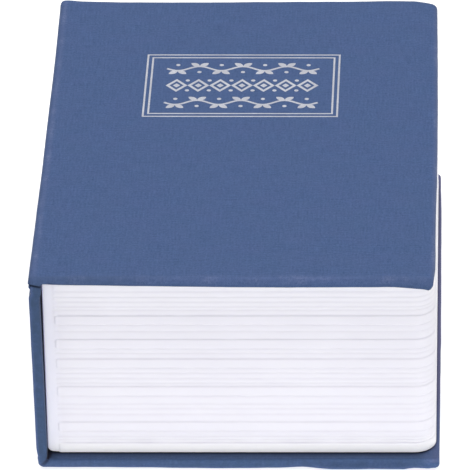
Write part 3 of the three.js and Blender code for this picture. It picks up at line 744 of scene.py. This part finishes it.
def front_cloth():
    size = cover_size
    grid, faces, points = cloth_skin(slab_stations(size), size, COVER_CORNER, 1)
    points = press_creases(cover_shape(points), COVER_CREASES)
    piece = make_piece("front_cover_cloth", points, faces, "front_cover", "book_cloth")
    # side holds painted shade on the narrow sides; edge holds rubbed cloth with painted highlights on the
    # crests
    paint(piece, run=cloth_run(grid, size), edge=wear_and_highlight(grid, size), side=cover_side_shade(grid, size),
          shade=cover_shade(points, grid, size))
    thicken(piece, CLOTH)
    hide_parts("front_cloth")


def cover_shade(points, grid, size):
    """Shade in the joint over the spine, and where the cloth turns down at the head."""
    x, y, _ = points.T
    at_end = smooth((np.abs(y) - 55.0) / 1.5)
    joint = 0.8 * smooth((-37.6 - x) / 0.5) * (grid[:, 2] < 0.25) * at_end
    head = HEAD_SHADE * bell((size[1] - grid[:, 1]) / 0.3) * (grid[:, 2] > 0.5 * size[2])
    return np.maximum(joint, head)


def way_in(grid, size):
    """Distance from the nearest of the slab's four narrow sides."""
    return np.minimum(grid[:, :2], size[:2] - grid[:, :2]).min(axis=1)


def edge_nearness(grid, size):
    """1 on the slab's narrow sides, falling to 0 a little way in over its faces."""
    return 1 - smooth(way_in(grid, size) / 3.0)


def wear_and_highlight(grid, size):
    """Rubbed cloth together with painted highlights where the edges round over: most along the outer edges
    and at the spine side, with a painted highlight band just in from the fore-edge crest.
    """
    u, v, w = grid.T
    crest = bell(np.hypot(way_in(grid, size), (size[2] - w) * 0.8) / 0.6)
    on_top = w >= size[2] - 0.01
    spine_crest = bell((u - SPINE_CREST) / 0.5) * on_top
    fore_highlight = 0.8 * bell((size[0] - u - 0.4) / 0.4) * on_top
    tail_crest = 0.6 * bell((v - 0.7) / 0.6) * on_top
    return np.clip(0.6 * crest + spine_crest + fore_highlight + tail_crest, 0, 1)


def cover_side_shade(grid, size):
    """Painted shade on the cover's narrow sides, more towards the spine and the fore-edge, which goes on over
    parts of its tail crest.
    """
    u, v, _ = grid.T
    extra_side_shade = 0.42 * (1 - smooth((u - 10.0) / 26.0)) + 0.2 * smooth((u - 62.0) / 12.0)
    on_crest = extra_side_shade * smooth((TAIL_CREST + 0.3 - v) / 0.8)
    return np.maximum(painted_side_shade(grid, size, COVER_SIDE_SHADE + extra_side_shade), on_crest)


def painted_side_shade(grid, size, tone):
    """How much painted shade the slab's narrow sides and underside have, as less light falls there than on
    the upper face.
    """
    return tone * smooth((size[2] - grid[:, 2] - 0.1) / 0.6)


def thicken(piece, thickness):
    solidify = piece.modifiers.new("cloth", "SOLIDIFY")
    solidify.thickness = thickness * MM
    solidify.offset = -1.0
    solidify.use_rim = True


def front_board():
    low, high = span("front_board")
    size = high - low
    grid, faces = box_surface(*slab_stations(size))
    points = rounded_slab(grid, size, BOARD_EDGE, BOARD_SPINE_CORNER, COVER_CORNER - BOARD_GAP)
    points = cover_shape(points + low - cover_low)
    piece = make_piece("front_cover_board", points, faces, "front_cover", "greyboard")
    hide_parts("front_board")


def case_stations():
    near = stations(spine_run * 2, (EDGE_STEPS[0], (4.5, 0.25)), MIDDLE_STEPS[0])
    up_to_fold = [place for place in near if place < spine_run - FOLD_MARGIN]
    round_fold = np.arange(spine_run - FOLD_MARGIN, spine_run + fold_run + FOLD_MARGIN, SIDE_STEP)
    far = case_size[0] - stations(back_run * 2, EDGE_STEPS, MIDDLE_STEPS[0])
    past_fold = sorted(place for place in far if place > round_fold[-1] + 0.1)
    _, vs, ws = slab_stations(case_size)
    return np.array([*up_to_fold, *round_fold, *past_fold]), vs, ws


def fold_reach(angle):
    """Distance of the folded corner's outside from the fold's centre, at an angle from the spine."""
    side = fold_outer - FOLD_OUTSIDE
    towards = side * (np.cos(angle) + np.sin(angle))
    square = fold_outer / np.maximum(np.cos(angle), np.sin(angle))
    inside = towards**2 - 2 * side**2 + FOLD_OUTSIDE**2
    curved = towards + np.sqrt(np.maximum(inside, 0))
    on_curve = (curved * np.cos(angle) > side) & (curved * np.sin(angle) > side)
    return np.where(on_curve, curved, square)


def end_wave(x):
    """How far the cloth is drawn in at the back cover's end; negative where it stands out."""
    drawn_in = 0.45 * smooth((-2.0 - x) / 32.0) + humps(x, ((0.35, 12.5, 2.5), (-0.3, 37.4, 1.2)))
    return drawn_in - 0.95 * smooth((x - 13.0) / 7.0) * (1 - 0.65 * smooth((x - 33.0) / 1.6))


def case_shape(points):
    """Bends the flat slab round the corner between spine and back cover."""
    u, v, w = points.T
    angle = np.clip((u - spine_run) / fold_run, 0, 1) * math.pi / 2
    distance = FOLD_INSIDE + (fold_reach(angle) - FOLD_INSIDE) * w / case_thickness
    centre_x = case_low[0] + fold_outer
    spine_x = inner_corner - w * (1 - SPINE_THINNING / case_thickness)
    x = np.where(u < spine_run, spine_x, centre_x - distance * np.cos(angle))
    z = np.where(u < spine_run, case_high[2] - u, fold_outer - distance * np.sin(angle))
    past = u > spine_run + fold_run
    x = np.where(past, centre_x + u - spine_run - fold_run, x)
    z = np.where(past, case_thickness - w, z)
    y = v + case_low[1]
    rise = SPINE_RISE - 0.2 - 0.5 * (1 - w / case_thickness)
    z = z + rise * smooth((-55.6 - y) / 1.9) * (1 - smooth(u / 3.0))
    tail = smooth((block_low[1] - 0.3 - y) / 2.4)
    head = smooth((y - block_high[1] - 0.3) / 2.4)
    lift = 0.16 * (1 - np.cos((x + 6.0) / 11.0)) * smooth((x + 30) / 20)
    z = z + (tail * lift + head * 0.5 * lift) * past
    y = y + 0.15 * tail * np.sin(z / 7.0) * (u < spine_run)
    y = y + end_wave(x) * (tail - 0.6 * head) * (1 - smooth(z / 1.8)) * (u > spine_run)
    x = x - spine_lean(y, z) * ~past
    x = x + foot_draw(x, y, z)
    fore_wave = 0.1 * bell((y + 8.0) / 25.0) - 0.2 * smooth((y - 38.0) / 18.0)
    x = x + (BACK_SPREAD + fore_wave) * smooth((x - 10.0) / 30.0)
    return np.stack([x, y, z], axis=1)


def foot_draw(x, y, z):
    """How far the spine's foot is drawn in at its tail end."""
    inwards = FOOT_DRAW * smooth((5.0 - z) / 4.0) * smooth((-48.0 - y) / 9.5)
    return inwards * (1 - smooth((x - case_low[0] - 0.6) / 1.6))


def case_creases():
    """Mitre folds where the turned-in cloth goes round the inner corner, and its tucked corners."""
    inner, outer = inner_corner, case_low[0]
    rows = (
        ((inner, 2.0), (outer + 1.0, 0.55), -0.3, 0.3),
        ((inner - 0.6, 2.6), (outer + 0.6, 1.0), 0.10, 0.35),
        ((inner + 0.8, 1.8), (outer + 2.6, 0.6), 0.10, 0.45),
        ((36.5, 1.9), (37.4, 0.3), -0.12, 0.45),
        ((38.6, 1.8), (38.9, 0.4), -0.12, 0.4),
        ((outer + 0.3, 40.9), (inner - 0.4, 40.2), -0.15, 0.35),
    )
    return [((start[0], y, start[1]), (end[0], y, end[1]), height, width)
            for y in (case_low[1], case_high[1]) for start, end, height, width in rows]


def fold_shade(points, grid):
    """Deep shade where the cloth meets the page block's foot and in the inner corner of the fold."""
    x, y, z = points.T
    y_end = case_low[1] + 0.1
    past_block = np.clip(np.abs(y) - block_high[1], 0, None)
    corner_x = np.maximum(x - block_high[0] + PAGE_INSET + FORE_CORNER, 0)
    corner_y = np.maximum(np.abs(y) - block_high[1] + PAGE_INSET + FORE_CORNER, 0)
    past_outline = np.clip(np.hypot(corner_x, corner_y) - FORE_CORNER, 0, None)
    reach = SHADE_REACH + (FORE_SHADE_REACH - SHADE_REACH) * smooth(corner_x / FORE_CORNER)
    ledge = SHADE_DEPTH * np.exp(-past_outline / reach) * (z < block_low[2] + 0.1)
    from_fold = np.hypot(x - inner_corner, z - block_low[2])
    fold = (1 - smooth(from_fold / (1.5 - 0.45 * past_block) - 0.25)) * (grid[:, 2] < 0.01)
    from_mitre = from_segment(points, (inner_corner, y_end, 2.0), (case_low[0] + 1.0, y_end, 0.55))
    mitre = 0.9 * bell(from_mitre / 0.34)
    joint = 0.6 * (1 - smooth((grid[:, 0] - 0.05) / 0.35)) * smooth((np.abs(y) - 55.5) / 1.2)
    return np.maximum.reduce([ledge * (grid[:, 2] < 0.01), fold, mitre, joint])


def case_cloth():
    size = case_size
    grid, faces, points = cloth_skin(case_stations(), size, BACK_CORNER, 3)
    points = press_creases(case_shape(points), case_creases())
    points[:, 2] = np.maximum(points[:, 2], 0.0)
    piece = make_piece("case_cover_cloth", points, faces[:, ::-1], "root", "book_cloth")
    x, y, _ = points.T
    towards_fore = smooth((x - 35.5) / 3.0)
    low_side = grid[:, 2] < 1.0
    fore_wear = FORE_WEAR * towards_fore * low_side
    fore = FORE_FADE * smooth((x - 38.3) / 1.0) * (1 - FORE_TAIL_LOSS * smooth((-28.0 - y) / 22.0)) * low_side
    on_spine = 1 - smooth((grid[:, 0] - spine_run) / fold_run)
    # Painted shade on the narrow sides, strongest on the spine and fading towards the fore-edge
    tone = CASE_SIDE_SHADE + (SPINE_SIDE_SHADE - CASE_SIDE_SHADE) * on_spine
    # edge holds rubbed cloth with painted highlights along the crests
    paint(piece, run=cloth_run(grid, size) + CASE_RUN_SHIFT, fore=fore,
          edge=np.maximum(wear_and_highlight(grid, size), fore_wear),
          side=painted_side_shade(grid, size, tone) * (1 - 0.8 * towards_fore), shade=fold_shade(points, grid))
    thicken(piece, CLOTH)
    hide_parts("case_cloth")


def leaned_copy(node, name, slot):
    """A copy of a board or lining, cut into short lengths so that it leans with the cloth."""
    mesh = frame["nodes"][node].data.copy()
    mesh.name = name
    cutter = bmesh.new()
    cutter.from_mesh(mesh)
    cuts = [((0, y * MM, 0), (0, 1, 0)) for y in np.arange(*LEAN_CUTS)]
    cuts += [((0, 0, z * MM), (0, 0, 1)) for z in LEAN_TOP + LEAN_FADE * np.linspace(0, 1, 4)]
    for place, normal in cuts:
        everything = [*cutter.verts, *cutter.edges, *cutter.faces]
        bmesh.ops.bisect_plane(cutter, geom=everything, plane_co=place, plane_no=normal)
    corner_x = case_low[0] + FOLD_OUTSIDE
    for vertex in cutter.verts:
        x, y, z = vertex.co / MM
        vertex.co.y = math.copysign(min(abs(y), case_high[1] - CLOTH - BOARD_GAP), y) * MM
        x += float(foot_draw(x, y, z) - spine_lean(y, z))
        from_corner = math.hypot(x - corner_x, z - FOLD_OUTSIDE)
        if x < corner_x and z < FOLD_OUTSIDE and from_corner > FOLD_OUTSIDE - CLOTH:
            share = (FOLD_OUTSIDE - CLOTH) / from_corner
            x = corner_x + (x - corner_x) * share
            vertex.co.z = (FOLD_OUTSIDE + (z - FOLD_OUTSIDE) * share) * MM
        vertex.co.x = x * MM
    cutter.to_mesh(mesh)
    cutter.free()
    mesh.materials.clear()
    mesh.materials.append(materials[slot])
    piece = in_scene(name, mesh)
    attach(piece, "root")
    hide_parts(node)


def hinge_cloth():
    """The cloth over the joint between spine and front cover, shaped in a curve and tucked under the cloth of
    both.
    """
    left, low_z, high_z = case_low[0], case_high[2], cover_low[2]
    profile = [(left + aside, low_z - past) for aside, past in HINGE_TUCK]
    profile.append((left + 0.05, (low_z + high_z) / 2))
    profile += [(left + aside, high_z + past) for aside, past in reversed(HINGE_TUCK)]
    ys = np.linspace(case_low[1] + HINGE_INSET, case_high[1] - HINGE_INSET, HINGE_ROWS)
    points = np.array([(x - COVER_LEAN * float(tail_lean(y) * smooth((z - low_z + 0.3) / 0.9)), y, z)
                       for y in ys for x, z in profile])
    piece = make_piece("hinge_cloth", points, grid_faces(len(ys), len(profile)), None, "book_cloth")
    paint(piece, run=points[:, [2, 1, 0]] * [1, 1, 0], edge=np.zeros(len(points)))
    thicken(piece, HINGE_CLOTH)
    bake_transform(piece)


# Page block

def ring_plan(low_x, high_x, half_y, spine_radius, fore_radius, fractions):
    """Points and outward normals round a rounded rectangle, at fractions of each straight and arc."""
    tail, arc, fore, spine_arc, spine = fractions
    left, right = low_x + spine_radius, high_x - fore_radius
    fore_y, spine_y = half_y - fore_radius, half_y - spine_radius
    sides = (
        ((left, -half_y), (right, -half_y), (0, -1), tail, (right, -fore_y), fore_radius, arc),
        ((high_x, -fore_y), (high_x, fore_y), (1, 0), fore, (right, fore_y), fore_radius, arc),
        ((right, half_y), (left, half_y), (0, 1), 1 - tail[::-1], (left, spine_y), spine_radius, spine_arc),
        ((low_x, spine_y), (low_x, -spine_y), (-1, 0), spine, (left, -spine_y), spine_radius, spine_arc),
    )
    places, normals = [], []
    for number, (start, end, normal, steps, centre, radius, arc_steps) in enumerate(sides):
        for t in steps:
            places.append([a + (b - a) * t for a, b in zip(start, end)])
            normals.append(normal)
        for t in arc_steps:
            angle = (number - 1 + t) * math.pi / 2
            normals.append((math.cos(angle), math.sin(angle)))
            places.append([middle + radius * n for middle, n in zip(centre, normals[-1])])
    return np.array(places), np.array(normals)


def strip_relief(z, x_in):
    """How far the block's side stands out: fine lines pressed in, and strips slightly crowned."""
    marks = sorted([*LINE_LEVELS, *(edge for band in BAND_EDGES for edge in band), block_high[2]])
    out = np.zeros_like(z)
    for low, high in zip(marks[:-1], marks[1:]):
        within = (z > low) & (z < high)
        out[within] += STRIP_CROWN * np.sin(math.pi * (z[within] - low) / (high - low)) ** 0.7
    for level in LINE_LEVELS:
        out -= LINE_DEPTH * bell((z - level) / LINE_HALF)
    return out * smooth((x_in - LINE_START) / LINE_FADE)


def outside_band(z, x_in, low, high):
    """Distance outside a band's rounded outline, which is negative on the band."""
    middle, half = (low + high) / 2, (high - low) / 2
    above = np.abs(z - middle)
    if low <= block_low[2]:
        above = np.maximum(z - middle, 0)
    past_side = above - (half - BAND_CORNER)
    past_end = BAND_START + BAND_CORNER - x_in
    corner = np.hypot(np.maximum(past_side, 0), np.maximum(past_end, 0))
    return corner + np.minimum(np.maximum(past_side, past_end), 0) - BAND_CORNER


def with_bands(out, z, x_in):
    """Raises the flat bands from the strips, each with a fine line pressed in round it."""
    for low, high in BAND_EDGES:
        outside = outside_band(z, x_in, low, high)
        rise = np.clip(-outside / BAND_SHOULDER, 0, 1)
        out = np.where(outside < 0, BAND_PROUD * np.sqrt(1 - (1 - rise) ** 2), out)
        at_end = smooth((x_in - BAND_START + 0.1) / 1.2)
        out = out - OUTLINE_DEPTH * bell(outside / OUTLINE_HALF) * at_end
    return out


def groove_dust(z, x_in):
    """How much painted shade darkens the grooves: most round the bands, less in the fine lines."""
    dust = np.zeros_like(z)
    for level in LINE_LEVELS:
        strength = LINE_SHADE - 0.2 * smooth((level - 14.0) / 14.0)
        dust = np.maximum(dust, strength * bell((z - level) / (LINE_HALF * 1.6)))
    dust = dust * smooth((x_in - LINE_START) / LINE_FADE)
    for low, high in BAND_EDGES:
        outside = outside_band(z, x_in, low, high)
        past_end = END_SHADE + (1 - END_SHADE) * smooth((x_in - BAND_START) / 1.5)
        dust = np.maximum(dust, OUTLINE_SHADE * past_end * bell(outside / (OUTLINE_HALF * 1.5)))
    step = STEP_SHADE * bell((x_in - BAND_START + 0.1) / 0.3) * smooth((z - 20.0) / 16.0)
    return np.maximum(dust, step)


def foot_pull(z, x_in):
    """How far the block's spine side is drawn in at its rounded foot corner."""
    below = np.clip((block_low[2] + FOOT_GAP + FOOT_CORNER - z) / FOOT_CORNER, 0, 1)
    return FOOT_CORNER * (1 - np.sqrt(1 - below**2)) * (1 - smooth(x_in / 2.6))


def foot_step(z, x_in):
    """How much higher the block's lower edge lies beside the spine than under the lowest band."""
    return FOOT_STEP * (1 - smooth((x_in - 1.9) / 0.5)) * (1 - smooth((z - block_low[2]) / 1.2))


def block_levels():
    """Heights of the block's outer rings: close at lines and band edges, wider apart between."""
    foot, top = block_low[2] + FOOT_GAP, block_high[2]
    levels = {foot, foot + 0.08, foot + FOOT_RADIUS, top, top - 0.12, top - 0.28, top - RIM_RADIUS}
    flanks = (-2, -1.2, -0.6, 0.6, 1.2, 2)
    for level in LINE_LEVELS:
        levels.update(level + LINE_HALF * k for k in (*flanks, 0))
    shares = np.sin(np.linspace(-0.5, 0.5, 15) * math.pi)
    for low, high in BAND_EDGES:
        levels.update((low + high) / 2 + (high - low) / 2 * share for share in shares)
        levels.update(edge + OUTLINE_HALF * k for edge in (low, high) for k in flanks)
    levels.update(foot + FOOT_CORNER * share for share in (0.05, 0.12, 0.2, 0.35))
    levels = sorted(level for level in levels if foot <= level <= top)
    spaced = [levels[0]]
    for level in levels[1:]:
        gap = level - spaced[-1]
        if gap >= LEVEL_GAPS[0]:
            steps = math.ceil(gap / LEVEL_GAPS[1])
            spaced += [spaced[-1] + gap / steps * k for k in range(1, steps)] + [level]
    spaced[-1] = top
    return spaced


def edge_pull(radius, past):
    """How far a rounded edge is drawn in where it is past the start of its radius."""
    return radius - math.sqrt(max(0.0, radius**2 - max(0.0, past) ** 2))


def outer_rings(plan, normals):
    """The block's outside as rings from its foot up to its top, with the painted groove shade on each."""
    x_in = plan[:, 0] - block_low[0]
    paged = 1 - smooth(-normals[:, 0] * 4)
    inset = plan - normals * FOOT_INSET
    inset[:, 0] += foot_pull(block_low[2], x_in)
    rings = [np.column_stack([inset, np.full(len(plan), block_low[2] + rise)]) for rise in (0, FOOT_GAP)]
    dust = [np.zeros(2 * len(plan))]
    for z in block_levels():
        heights = z + foot_step(z, x_in)
        out = with_bands(strip_relief(heights, x_in), heights, x_in) * paged
        out = out - edge_pull(RIM_RADIUS, z - (block_high[2] - RIM_RADIUS))
        out = out - edge_pull(FOOT_RADIUS, block_low[2] + FOOT_GAP + FOOT_RADIUS - z)
        outline = plan + normals * out[:, None]
        outline[:, 0] += foot_pull(z, x_in)
        rings.append(np.column_stack([outline, heights]))
        # Painted groove shade, weaker round the fore-edge corner where the lines catch more light
        dust.append(groove_dust(heights, x_in) * paged * (1 - 0.75 * smooth(normals[:, 0] * 1.5)))
    return rings, np.concatenate(dust)


def inner_ring(insets, radii, z, fractions):
    """A ring inside the block, by its insets at spine, fore-edge and ends and its corners' radii."""
    at_spine, at_fore, at_end = insets
    high_x, half_y = block_high[0] - at_fore, block_high[1] - at_end
    places, _ = ring_plan(block_low[0] + at_spine, high_x, half_y, *radii, fractions)
    return np.column_stack([places, np.full(len(places), z)])


def inner_rings(rim_foot, fractions):
    """The block's inside as rings down the well's rounded edge, round its skirt and down the wall."""
    rows = [(RIM - grow, WELL_CORNER + grow, block_high[2] - drop) for drop, grow in WELL_EDGE]
    rows.append((RIM, WELL_CORNER, SKIRT_FOOT))
    rows += [(RIM - SKIRT_WALL, WELL_CORNER + SKIRT_WALL, z) for z in (SKIRT_FOOT, rim_foot)]
    rings = [inner_ring((inset,) * 3, (radius,) * 2, z, fractions) for inset, radius, z in rows]
    insets, radii = (WALL, WALL + PAGE_INSET, WALL + PAGE_INSET), (SPINE_CORNER / 2, FORE_CORNER - WALL)
    return rings + [inner_ring(insets, radii, z, fractions) for z in (rim_foot, block_low[2])]


def page_block():
    page_fore, page_end = block_high[0] - PAGE_INSET, block_high[1] - PAGE_INSET
    run = page_fore - FORE_CORNER - block_low[0] - SPINE_CORNER
    fine = np.arange(0, FINE_REACH, FINE_STEP) / run
    tail = np.concatenate([fine, np.linspace(FINE_REACH / run, 1, TAIL_STEPS)])
    arc, spine_arc = (np.linspace(0, 1, steps)[1:-1] for steps in ARC_STEPS)
    fore, spine = (np.linspace(0, 1, steps) for steps in (FORE_STEPS, SPINE_STEPS))
    fractions = (tail, arc, fore, spine_arc, spine)
    plan, normals = ring_plan(block_low[0], page_fore, page_end, SPINE_CORNER, FORE_CORNER, fractions)
    rim_foot = block_high[2] - RIM_THICKNESS
    rings, dust = outer_rings(plan, normals)
    rings += inner_rings(rim_foot, fractions)
    shell = np.concatenate(rings), grid_faces(len(rings), len(plan), rows_close=True, row_closes=True)
    points, faces = joined([shell, *(boss(screw, rim_foot) for screw in range(1, 5))])
    piece = make_piece("page_block_shell", points, faces, "root", "page_plastic", shade_angle=SHARP_ANGLE)
    # The foot rings carry painted shade, and the grooves painted groove shade
    paint(piece, grime=np.arange(len(points)) < 2 * len(plan),
          dust=np.concatenate([dust, np.zeros(len(points) - len(dust))]))
    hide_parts("page_block")


def boss(screw, rim_foot):
    """The screw boss under the rim, a short closed cylinder with a blind hole."""
    low, high = span(f"tray_screw_{screw}")
    x, y, _ = (low + high) / 2
    foot = block_high[2] - BOSS_FOOT
    hole = ((HOLE_RADIUS, foot + HOLE_DEPTH), (HOLE_RADIUS, foot))
    profile = (*hole, (BOSS_RADIUS, foot), (BOSS_RADIUS, rim_foot))
    points = [(*place, z) for radius, z in profile for place in circle(x, y, radius, BOSS_STEPS)]
    return points, stack_faces(len(profile), BOSS_STEPS)


# Foil: a double frame with a plain ornament of lozenges, leaves and dots

def turned(x, y, angle):
    return x * math.cos(angle) - y * math.sin(angle), x * math.sin(angle) + y * math.cos(angle)


def foil_rows(rows, lift=0.0):
    """Points on the cover for rows of an outline and whether it lies at the foil's top."""
    points = []
    for outline, at_top in rows:
        z = cover_high[2] + (FOIL_HEIGHT + lift if at_top else -FOIL_HEIGHT)
        for place in outline:
            x, y = turned(*place, FOIL_TURN)
            points.append((FOIL_CENTRE[0] + x, FOIL_CENTRE[1] + y, z))
    return points


def foil_ring(outer, inner):
    """A thin ring between two outlines with equally many points."""
    points = foil_rows(((outer, False), (outer, True), (inner, True), (inner, False)))
    return points, grid_faces(4, len(outer), rows_close=True, row_closes=True)


def foil_patch(outline, lift=0.0):
    return foil_rows(((outline, False), (outline, True)), lift), stack_faces(2, len(outline))


def rectangle(width, height):
    return [(x * width / 2, y * height / 2) for x, y in ((-1, -1), (1, -1), (1, 1), (-1, 1))]


def lozenge(x, width, height):
    return [(x - width / 2, 0), (x, -height / 2), (x + width / 2, 0), (x, height / 2)]


def dot(x, y):
    return foil_patch(circle(x, y, DOT_RADIUS, DOT_STEPS))


def leaf(x, y, turn):
    """The outline of a pointed leaf that grows from (x, y)."""
    shares = [k / LEAF_STEPS for k in range(LEAF_STEPS + 1)]
    half = [(share * LEAF_LENGTH, LEAF_WIDTH / 2 * math.sin(math.pi * share) ** 0.8) for share in shares]
    outline = [(a, -b) for a, b in half] + [(a, b) for a, b in reversed(half[1:-1])]
    return [(x + a, y + b) for a, b in (turned(*place, turn) for place in outline)]


def stem(centre_y):
    """The outline of a wavy stem of even width, with a bend above or below each lozenge."""
    half_length = ORNAMENT_PITCH * ORNAMENT_COUNT / 2
    upper, lower = [], []
    for k in range(STEM_STEPS + 1):
        x = -half_length + 2 * half_length * k / STEM_STEPS
        turn = math.pi * x / ORNAMENT_PITCH
        y = centre_y + STEM_WAVE * math.cos(turn)
        slope = -STEM_WAVE * math.pi / ORNAMENT_PITCH * math.sin(turn)
        length = math.hypot(1, slope)
        aside, along = slope / length * STEM_WIDTH / 2, STEM_WIDTH / 2 / length
        upper.append((x - aside, y + along))
        lower.append((x + aside, y - along))
    return lower + upper[::-1]


def ornament_places():
    """Places along a row, with the direction of the stem's bend at each."""
    middle = ORNAMENT_COUNT // 2
    return [(k * ORNAMENT_PITCH, (-1) ** abs(k)) for k in range(-middle, middle + 1)]


def leafy_row(centre_y):
    """A stem with a pair of leaves on the outside of each bend and a dot inside it."""
    patches = [foil_patch(stem(centre_y))]
    for x, side in ornament_places():
        for layer, spread in ((1, -LEAF_SPREAD), (2, LEAF_SPREAD)):
            outline = leaf(x, centre_y + side * STEM_WAVE, side * math.radians(90 + spread))
            patches.append(foil_patch(outline, LEAF_LIFT * layer))
        patches.append(dot(x, centre_y - side * DOT_BELOW))
    return patches


def lozenge_row():
    patches = []
    for x, _ in ornament_places():
        inner = lozenge(x, ORNAMENT_PITCH - LOZENGE_BORDER[0], LOZENGE_HEIGHT - LOZENGE_BORDER[1])
        patches.append(foil_ring(lozenge(x, ORNAMENT_PITCH, LOZENGE_HEIGHT), inner))
        patches.append(foil_patch(lozenge(x, *LOZENGE_CORE)))
        if x > 0:
            for y in (-DOT_ASIDE, DOT_ASIDE):
                patches += [dot(x - ORNAMENT_PITCH / 2, y), dot(ORNAMENT_PITCH / 2 - x, y)]
    return patches


def foil():
    parts = lozenge_row() + leafy_row(ROW_DISTANCE) + leafy_row(-ROW_DISTANCE)
    for width, height in (FOIL_OUTER, FOIL_INNER):
        inner = rectangle(width - 2 * FOIL_LINE, height - 2 * FOIL_LINE)
        parts.append(foil_ring(rectangle(width, height), inner))
    points, faces = joined(parts)
    make_piece("front_foil", points, faces, "front_cover", "book_cloth", foil_material(), FOIL_SHARP_ANGLE)


# CAD pieces that keep their own mesh

def finish_cad_nodes():
    """Gives each node its material, and a fine rounded edge where it is plastic or metal."""
    angle = math.radians(SHARP_ANGLE)
    for row in frame["record"]["subparts"]:
        node, slot = frame["nodes"][row["node"]], row["material_slot"]
        node.data.materials.clear()
        node.data.materials.append(materials[slot])
        node.data.shade_smooth()
        node.data.set_sharp_from_angle(angle=angle)
        if slot not in ("endpaper", "greyboard", "book_cloth"):
            bevel = node.modifiers.new("edges", "BEVEL")
            bevel.width = NODE_EDGE * MM
            bevel.segments = 2
            bevel.limit_method = "ANGLE"
            bevel.angle_limit = angle
            bevel.harden_normals = True


# Room

def make_camera():
    data = bpy.data.cameras.new("camera")
    data.sensor_width = CAMERA_SENSOR
    data.lens = CAMERA_LENS
    data.clip_end = 20
    camera = in_scene("camera", data)
    yaw = Matrix.Rotation(CAMERA_YAW, 4, "Z")
    tilt = Matrix.Rotation(math.pi / 2 - CAMERA_ELEVATION, 4, "X")
    roll = Matrix.Rotation(CAMERA_ROLL, 4, "Z")
    back = Matrix.Translation(Vector((-CAMERA_ASIDE, -CAMERA_ABOVE, CAMERA_DISTANCE)) * MM)
    camera.matrix_world = Matrix.Translation((cad_low + cad_high) / 2) @ yaw @ tilt @ roll @ back
    bpy.context.scene.camera = camera


def make_light(name, place, size, power):
    data = bpy.data.lights.new(name, "AREA")
    data.shape = "RECTANGLE"
    data.size, data.size_y = size
    data.energy = power
    light = in_scene(name, data)
    light.location = place
    light.rotation_mode = "QUATERNION"
    light.rotation_quaternion = (Vector(LIGHT_TARGET) - Vector(place)).to_track_quat("-Z", "Y")


def make_room():
    world = bpy.data.worlds.new("studio")
    world.use_nodes = True
    background = world.node_tree.nodes["Background"]
    background.inputs["Color"].default_value = (0.98, 0.985, 1.0, 1.0)
    background.inputs["Strength"].default_value = SKY_STRENGTH
    bpy.context.scene.world = world
    mesh = bpy.data.meshes.new("floor")
    corners = [(x, y, 0) for x, y in rectangle(FLOOR_SIZE, FLOOR_SIZE)]
    mesh.from_pydata(corners, [], [(0, 1, 2, 3)])
    mesh.materials.append(floor_material())
    floor = in_scene("floor", mesh)
    floor.location = (0, 0, -0.0001)
    for light in LIGHTS:
        make_light(*light)
    view = bpy.context.scene.view_settings
    view.view_transform = "Standard"
    view.look = "None"
    view.exposure = 0.0
    view.gamma = 1.0


make_camera()
make_room()
materials = {
    "book_cloth": cloth_material(),
    "greyboard": board_material(),
    "endpaper": paper_material(),
    "page_plastic": page_material(),
    "black_steel": powder_coat_material(),
    "bright_steel": zinc_material(),
    "lock_chrome": chrome_material(),
}
finish_cad_nodes()
front_board()
leaned_copy("spine_board", "spine_cover_board", "greyboard")
leaned_copy("spine_lining", "spine_inner_lining", "endpaper")
leaned_copy("back_board", "back_cover_board", "greyboard")
hinge_cloth()
front_cloth()
case_cloth()
page_block()
foil()
